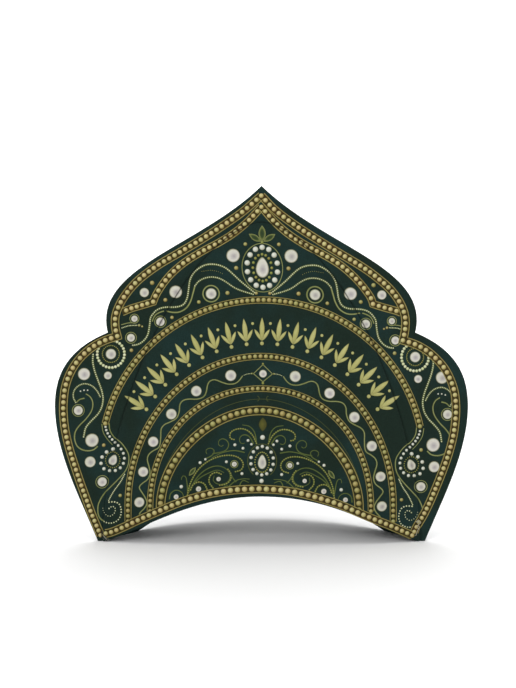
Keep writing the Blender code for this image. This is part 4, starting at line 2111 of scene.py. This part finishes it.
@dataclass
class SideField:
    """The ornament of the wings: rosette, scrolls, paisley and spiral."""

    pearls: tuple[Gem, ...] = (
        Gem(132.6, 163.0, 4.6),
        Gem(135.2, 144.3, 3.5),
        Gem(156.0, 145.5, 5.4),
        Gem(160.9, 113.8, 4.1, 5.2),
        Gem(148.7, 87.8, 5.9),
        Gem(149.9, 69.0, 4.8),
        Gem(138.9, 51.5, 4.2, 5.5),
    )
    dots: tuple[Gem, ...] = (Gem(138.3, 83.5, 1.7), Gem(122.6, 39.6, 1.6))
    white_dots: tuple[Gem, ...] = (Gem(152.8, 131.4, 0.7), Gem(155.9, 131.4, 0.7), Gem(159.0, 130.5, 0.7))
    string: Places = (
        (148.1, 162.6), (148.4, 156.4), (146.9, 148.9), (143.8, 140.1), (140.6, 131.3), (139.3, 123.8),
        (140.6, 116.3), (144.2, 110.1), (149.2, 105), (154.2, 98.8), (156, 90.7),
    )
    scroll: Places = (
        (163.1, 120.7), (165.2, 125.1), (164.9, 130.1), (161.8, 134.5), (156.2, 137), (150, 135.7),
        (145, 131.4), (141.8, 125.7),
    )
    hook: Places = ((162.4, 120.7), (160, 123.2), (155.6, 124.5))
    ess: Places = (
        (154.3, 128.2), (150.6, 125.7), (148.3, 120.7), (149.2, 113.8), (154.2, 106.4), (159.8, 100.7),
        (163.4, 95), (163.7, 88.1), (160.7, 81.9), (154.4, 78.8), (147.5, 79.4), (143.6, 82.6),
    )
    tail: Places = (
        (134, 102.6), (133.1, 96.3), (129, 90), (123.9, 86.3), (120.1, 81.9), (116.8, 76.3),
        (116.1, 71.3), (117, 65.5), (119.8, 60), (125.6, 53.1), (131.5, 46.9), (137.4, 40.2),
        (141.2, 32.4), (141.6, 27.9), (140.9, 22.9), (138.9, 19.4), (135.5, 16.7),
    )
    curl: Places = (
        (135.5, 16.7), (131.5, 15.5), (127.9, 15.8), (124, 17.7), (121.8, 20.9), (121, 24.5),
        (121.4, 28.4), (123, 31.9), (125.9, 33.7), (129, 34), (132.1, 33.7),
    )
    inner_tail: Places = ((119.6, 58.1), (123, 51.3), (127.7, 44.4), (130.5, 39.4), (132.5, 35.2))
    inner_curl: Places = (
        (131.8, 28.2), (129.4, 30), (127.4, 29.5), (126.2, 27.7), (126.4, 25.7), (127.1, 24),
        (129, 22.2), (131.2, 21.4), (133.7, 22.4), (135.7, 24.2), (136.8, 26), (137.3, 28.4),
    )
    leading_line: Places = ((140.3, 101.9), (139.1, 95), (135.3, 88.8), (130.8, 83.8))
    spiral: Places = (
        (137.6, 102), (136.2, 96.3), (133.5, 91.3), (129.3, 86.5), (124.6, 82), (122.7, 79.5),
        (120.9, 76), (120.1, 72.2), (120.7, 68), (123, 64.2), (127.9, 61.3), (134.1, 61.3), (138.9, 64),
        (140.5, 68.8), (139.1, 74), (135.3, 77.8), (130.2, 80),
    )
    drop: Pair = (130.2, 70.0)

    def draw(self, palette: Palette) -> None:
        """Draw the ornament.

        Args:
            palette: The sheets that it is drawn on.
        """
        palette.string(self.string)
        palette.string(self.scroll, 1.9, 1.0, 1.5)
        palette.line(self.hook, 0.9, 1.2)
        palette.line(self.ess, 1.1, 1.3)
        palette.line(self.tail, 0.9, 1.2)
        palette.line(self.leading_line, 0.8, 0.6)
        palette.string(self.inner_tail, 1.3, 1.1, 1.5)
        for path in palette.both(Path.through(self.curl)):
            palette.tiny.row(path, 1.2, 2.2, (1.5, 2.5), sides=10)
        for path in palette.both(Path.through(self.inner_curl)):
            palette.tiny.row(path, 1.2, 2.1, (0.7, 2.1), sides=8)
        for path in palette.both(Path.through(self.spiral)):
            palette.white.row(path, 2.2, 2.8, (3.5, 6.1), (2.6, 0.0), sides=14)
        self._rosette(palette)
        for side in (1, -1):
            x, z = self.drop
            palette.pearls.blot(Vector((side * x, z)) * MM, (3.7, 4.2), Form.DROP, side * 24, 28)
            palette.wreath(palette.olive, (side * x, z + 0.6), (6.3, 6.9), (22, 1.1))
        palette.set_gems(palette.pearls, self.pearls)
        palette.set_gems(palette.gold, self.dots)
        palette.set_gems(palette.white, self.white_dots)

    def _rosette(self, palette: Palette) -> None:
        """Draw the rings of beads around the topmost pearl of the wing.

        Args:
            palette: The sheets that it is drawn on.
        """
        for side in (1, -1):
            centre = (side * self.pearls[0].x, self.pearls[0].z)
            palette.wreath(palette.olive, centre, (7.4, 7.4), (28, 1.2))
            palette.wreath(palette.tiny, centre, (11.9, 11.9), (27, 2.7))


@dataclass
class WaveBand:
    """The band between the second and third arches: pearls, a wavy line and a diamond."""

    pearls: tuple[Gem, ...] = (
        Gem(28.1, 144.3, 4.9),
        Gem(58.1, 130.7, 4.7),
        Gem(79.8, 110.7, 4.7),
        Gem(95.3, 86.6, 4.6),
        Gem(103.5, 60.4, 4.5),
        Gem(105.7, 33.8, 4.5),
        Gem(0, 145.9, 3.4),
    )
    wave: Places = (
        (17.7, 144.1), (20.9, 139.7), (24.6, 137.2), (30.3, 136.8), (35.9, 138.4), (42.1, 140.6),
        (46.5, 139.1), (48.4, 135.3), (49.3, 130.3), (51.5, 125.9), (57.1, 123.7), (64.7, 123.7),
        (69.6, 122.5), (72.3, 119), (72.9, 112.8), (75.2, 107.2), (80.8, 103.8), (85.7, 101.5),
        (88.5, 97.8), (88.8, 90.3), (90.1, 81.9), (95, 78.8), (98.7, 75.7), (100.1, 71.3), (98.5, 65),
        (97.4, 58.8), (99.3, 53.8), (104.1, 50), (106.3, 46.9), (103.8, 42.5), (100.5, 37.5),
        (99, 33.1), (100.8, 28.8), (104.3, 25), (105.2, 23.1),
    )
    diamond: Places = ((0, 153.8), (8.3, 145.9), (0, 138.8))
    dots: tuple[Gem, ...] = (Gem(0, 154.4, 1.0), Gem(0, 137.6, 1.2), Gem(9.6, 146.0, 0.8))
    link: Places = ((10.2, 146), (13.6, 145.6), (16.4, 144.6))
    faint: BeadedArch = BeadedArch(-91.0, 89.0, 29, 123.8, 0.53, 40)

    def draw(self, palette: Palette) -> None:
        """Draw the band's ornament.

        Args:
            palette: The sheets that it is drawn on.
        """
        palette.line(self.wave, 1.1, 1.2)
        palette.set_gems(palette.pearls, self.pearls)
        for start, stop in zip(self.diamond, self.diamond[1:]):
            palette.line((start, stop), 0.8)
        palette.set_gems(palette.olive, self.dots)
        palette.string(self.link, 0.8, 0.7, 1.2)
        palette.faint.ribbon(self.faint.path(), 0.5)
        for side in (-1, 1):
            curl = Path.arc((side * 4.4, 124.2), (1.2, 2.2), (60, 300) if side > 0 else (120, -120))
            palette.faint.ribbon(curl, 0.6, cell=0.8)


@dataclass
class LowerField:
    """The ornament under the fourth arch: a medallion among scrolling tendrils."""

    medallion: Pair = (0.0, 70.0)
    beaded: tuple[Places, ...] = (
        (
            (64, 40), (62, 50), (56, 61.5), (47.3, 69.3), (37, 73.7), (27.5, 74.6), (20.2, 72.4),
            (16.4, 67.4), (18, 62.2), (23, 60.4),
        ),
        ((42, 46.3), (45.6, 51.4), (44.6, 57.2), (39.8, 59.8), (35.4, 58.2)),
        ((29.6, 62.4), (27, 58.4), (27.2, 53.2), (31, 49.6), (36.2, 48.6)),
        ((47.2, 45.2), (49.6, 49.6), (54.6, 51.4), (59.4, 49), (61.4, 44.6)),
        ((5.2, 85), (9, 92.5), (15.4, 97.3), (23, 97.4), (28, 94.2), (28, 89.6), (24.8, 88.4)),
    )
    tendrils: tuple[Places, ...] = (
        (
            (63.3, 42), (56.3, 55.3), (48.6, 62.4), (39.7, 65.4), (32, 63.4), (27.6, 57.8),
            (29.4, 51.6), (36.8, 49.4), (42, 52.6), (41.4, 57),
        ),
        ((62, 46), (54.5, 54.5), (46, 59.4), (38.5, 61.8), (33, 59.5)),
        ((15.4, 77.2), (24.5, 78.8), (34.7, 77), (44, 72.4)),
        ((5.2, 85), (7, 94.5), (11.5, 99.8), (18, 101.2)),
        ((7.7, 84.6), (11.5, 90.9), (16.4, 92.6), (20, 89.6), (18.7, 85), (15.4, 85.4)),
        (
            (43.5, 76), (32.6, 78.6), (29.4, 83.4), (31.4, 87.8), (35.8, 89), (38.6, 85.9),
            (36.6, 82.4), (33.9, 83.6),
        ),
        ((50, 71.4), (43.4, 75), (42, 78.9), (45.4, 81), (49.2, 79), (48.2, 75.8)),
        ((63.8, 41.5), (65, 51.4), (66.5, 56.3), (69.2, 56.5), (69.8, 53.4)),
        ((79.6, 36.4), (78.6, 41.6), (73.8, 44.4), (68.6, 42), (67.4, 38.6)),
        ((30, 45.4), (26.8, 49), (21.5, 53), (15.4, 54.2), (10.5, 54)),
        ((22, 51.4), (24.6, 54.2), (26.6, 58)),
        ((19, 46.6), (18.4, 50), (16, 52.8), (11, 51)),
        ((40, 43.8), (34, 46.4), (29, 48.6)),
    )
    pearls: tuple[Gem, ...] = (
        Gem(24.2, 67.0, 2.3, 3.2), Gem(37.5, 54.0, 2.0), Gem(54.6, 45.4, 2.4), Gem(73.8, 38.6, 2.2)
    )
    whites: tuple[Gem, ...] = (
        Gem(24.0, 83.8, 1.4), Gem(16.9, 80.8, 1.3), Gem(12.6, 87.6, 1.3), Gem(9.6, 84.3, 1.2),
        Gem(31.1, 69.0, 1.3), Gem(17.3, 58.7, 1.4), Gem(49.5, 71.2, 1.1), Gem(54.0, 68.3, 1.4),
        Gem(69.7, 47.4, 1.6), Gem(0, 90.3, 2.2), Gem(0, 52.4, 2.0),
    )

    def draw(self, palette: Palette) -> None:
        """Draw the ornament.

        Args:
            palette: The sheets that it is drawn on.
        """
        for places in self.beaded:
            palette.stroke(palette.vines, places, 1.5, 1.2, (palette.olive, 1.4, 2.0))
        for places in self.tendrils:
            palette.stroke(palette.vines, places, 1.3, 0.7)
        palette.set_gems(palette.pearls, self.pearls)
        palette.set_gems(palette.white, self.whites)
        for side in (1, -1):
            palette.leaves.blot(Vector((side * 60.6, 60.6)) * MM, (2.0, 4.6), Form.LEAF, side * 38, 18)
        x, z = self.medallion
        palette.pearls.blot(Vector((x, z - 1.9)) * MM, (3.8, 5.4), Form.DROP, sides=28)
        palette.wreath(palette.olive, (x, z - 1.4), (6.25, 8.75), (24, 1.4))
        palette.wreath(palette.white, (x, z), (9.9, 12.4), (14, 3.1))
        palette.faint.ribbon(Path.arc((x, z), (12.6, 14.6), (235, -55)), 0.9, cell=1.5)
        palette.buds.blot(Vector((0, 101.6)) * MM, (3.6, 6.2), Form.LEAF, sides=24)


@dataclass
class Ornament:
    """The whole print of the front.

    Attributes:
        face: The face that it is printed on.
        sight: Where its places are seen from.
    """

    face: FrontFace
    sight: Sight

    def build(self) -> None:
        """Draw the print and lay it on the front."""
        sight = self.sight
        palette = Palette.fresh(sight)
        for motif in (UpperField(), SideField(), WaveBand(), LowerField()):
            motif.draw(palette)
        arch_sheets = (
            PrintSheet("print_arch_bands", ARCH_BAND, Layer.ARCH_BAND, sight),
            PrintSheet("print_arch_lines", GOLD_LINE, Layer.ARCH_LINE, sight),
            PrintSheet("print_arch_beads", GOLD_BEAD, Layer.ARCH_BEAD, sight),
        )
        Arches().draw(arch_sheets)
        ogee_sheets = (
            PrintSheet("print_ogee_band", BORDER_BAND, Layer.ARCH_BAND, sight),
            PrintSheet("print_ogee_lines", GOLD_LINE, Layer.ARCH_LINE, sight),
            PrintSheet("print_ogee_beads", CREAM_BEAD, Layer.ARCH_BEAD, sight),
        )
        border_sheets = (
            PrintSheet("print_border_band", BORDER_BAND, Layer.BORDER_BAND, sight),
            PrintSheet("print_border_lines", GOLD_LINE, Layer.BORDER_LINE, sight),
            PrintSheet("print_border_beads", CREAM_BEAD, Layer.BORDER_BEAD, sight),
        )
        border = Border()
        border.draw_inner(ogee_sheets)
        border.draw(border_sheets)
        palmettes = PrintSheet("print_palmettes", BAND_GOLD, Layer.FIELD_BEAD, sight)
        dots = PrintSheet("print_palmette_dots", BAND_GOLD, Layer.FIELD_BEAD, sight)
        PalmetteBand().draw(palmettes, dots)
        sheets = (*palette.sheets(), palmettes, dots, *arch_sheets, *ogee_sheets, *border_sheets)
        for sheet in sheets:
            sheet.print_on(self.face)


@dataclass
class Studio:
    """Pale floor and backdrop, soft lights and the camera.

    Attributes:
        sight: Where the picture is taken from.
        room: Strength of the even white room.
        reach: How far the floor reaches to the sides and forward.
        bend, bend_steps: Where the floor bends up, and in how many steps.
        radius: The radius of the bend.
        wall: The height of the wall.
        boxes: For each soft box its name, its place, what it faces, its size and its power.
    """

    sight: Sight
    room: float = 0.27
    reach: float = 6.0
    bend: float = 1.2
    bend_steps: int = 12
    radius: float = 1.5
    wall: float = 7.0
    boxes: tuple[tuple[str, tuple, tuple, float, float], ...] = (
        ("key", (-0.9, -1.5, 1.2), (0.0, 0.0, 0.12), 1.0, 14.0),
        ("fill", (1.2, -1.3, 0.8), (0.0, 0.0, 0.12), 1.2, 7.0),
        ("top", (0.10, 0.22, 1.5), (0.10, 0.22, 0.0), 1.8, 21.0),
        ("wash", (0.0, 0.7, 2.3), (0.0, 1.7, 1.95), 2.2, 95.0),
    )

    def build(self) -> None:
        """Make the studio."""
        self._floor()
        self._lights()
        self.sight.camera()
        bpy.context.scene.view_settings.view_transform = "Standard"

    def _floor(self) -> None:
        """Make a seamless floor that sweeps up behind the hat."""
        shape = bmesh.new()
        start = shape.verts.new((-self.reach, -self.reach, 0.0))
        stop = shape.verts.new((self.reach, -self.reach, 0.0))
        edges = [shape.edges.new((start, stop))]
        sweep = [(self.bend, 0.0)]
        for step in range(1, self.bend_steps + 1):
            turn = math.radians(90 * step / self.bend_steps)
            across, up = self.radius * math.sin(turn), self.radius * (1 - math.cos(turn))
            sweep.append((self.bend + across, up))
        sweep.append((self.bend + self.radius, self.wall))
        at = Vector((-self.reach, 0.0))
        for y, z in sweep:
            made = bmesh.ops.extrude_edge_only(shape, edges=edges)["geom"]
            verts = of_kind(made, bmesh.types.BMVert)
            bmesh.ops.translate(shape, verts=verts, vec=(0.0, y - at.x, z - at.y))
            edges = of_kind(made, bmesh.types.BMEdge)
            at = Vector((y, z))
        mesh = mesh_from("floor", shape)
        mesh.shade_smooth()
        floor = show("floor", mesh)
        recipe = Recipe("studio_floor")
        paper = srgb(244, 244, 244)
        recipe.shade({"Base Color": paper, "Roughness": 0.9, "Specular IOR Level": 0.1})
        mesh.materials.append(recipe.material)

    def _lights(self) -> None:
        """Hang soft boxes over, beside, before and behind the hat, in an even white room."""
        world = bpy.data.worlds.new("studio")
        world.use_nodes = True
        background = world.node_tree.nodes["Background"]
        background.inputs["Color"].default_value = WHITE
        background.inputs["Strength"].default_value = self.room
        bpy.context.scene.world = world
        for name, place, aim, size, power in self.boxes:
            light = bpy.data.lights.new(name, "AREA")
            light.shape = "DISK"
            light.size = size
            light.energy = power
            hung = show(name, light)
            hung.location = place
            hung.rotation_euler = (Vector(aim) - Vector(place)).to_track_quat("-Z", "Y").to_euler()


def face_from_frame(outline: Outline) -> FrontFace:
    """Work out the front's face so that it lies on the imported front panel.

    Args:
        outline: The cut outline.

    Returns:
        The face.
    """
    seam, pocket = SeamArch(*SEAM_SIZE), SeamArch(*POCKET_SIZE)
    trial = FrontFace(seam, pocket, 0.0)
    tree = BVHTree.FromObject(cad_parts["front_panel"], bpy.context.evaluated_depsgraph_get())
    hit = tree.ray_cast(Vector((0.0, -1.0, PROBE_HEIGHT)), Vector((0.0, 1.0, 0.0)))[0]
    return FrontFace(seam, pocket, hit.y - trial.depth(0.0, PROBE_HEIGHT))


def main() -> None:
    """Build the hat and the studio, in order."""
    logging.basicConfig(level=logging.INFO, format="%(name)s %(message)s")
    outline = Outline()
    face = face_from_frame(outline)
    back = BackFelt(face, outline)
    FrontFelt(face, outline).build()
    back.build()
    sight = Sight()
    Seam(face, back, sight).build()
    Ornament(face, sight).build()
    Studio(sight).build()


if __name__ == "__main__":
    main()
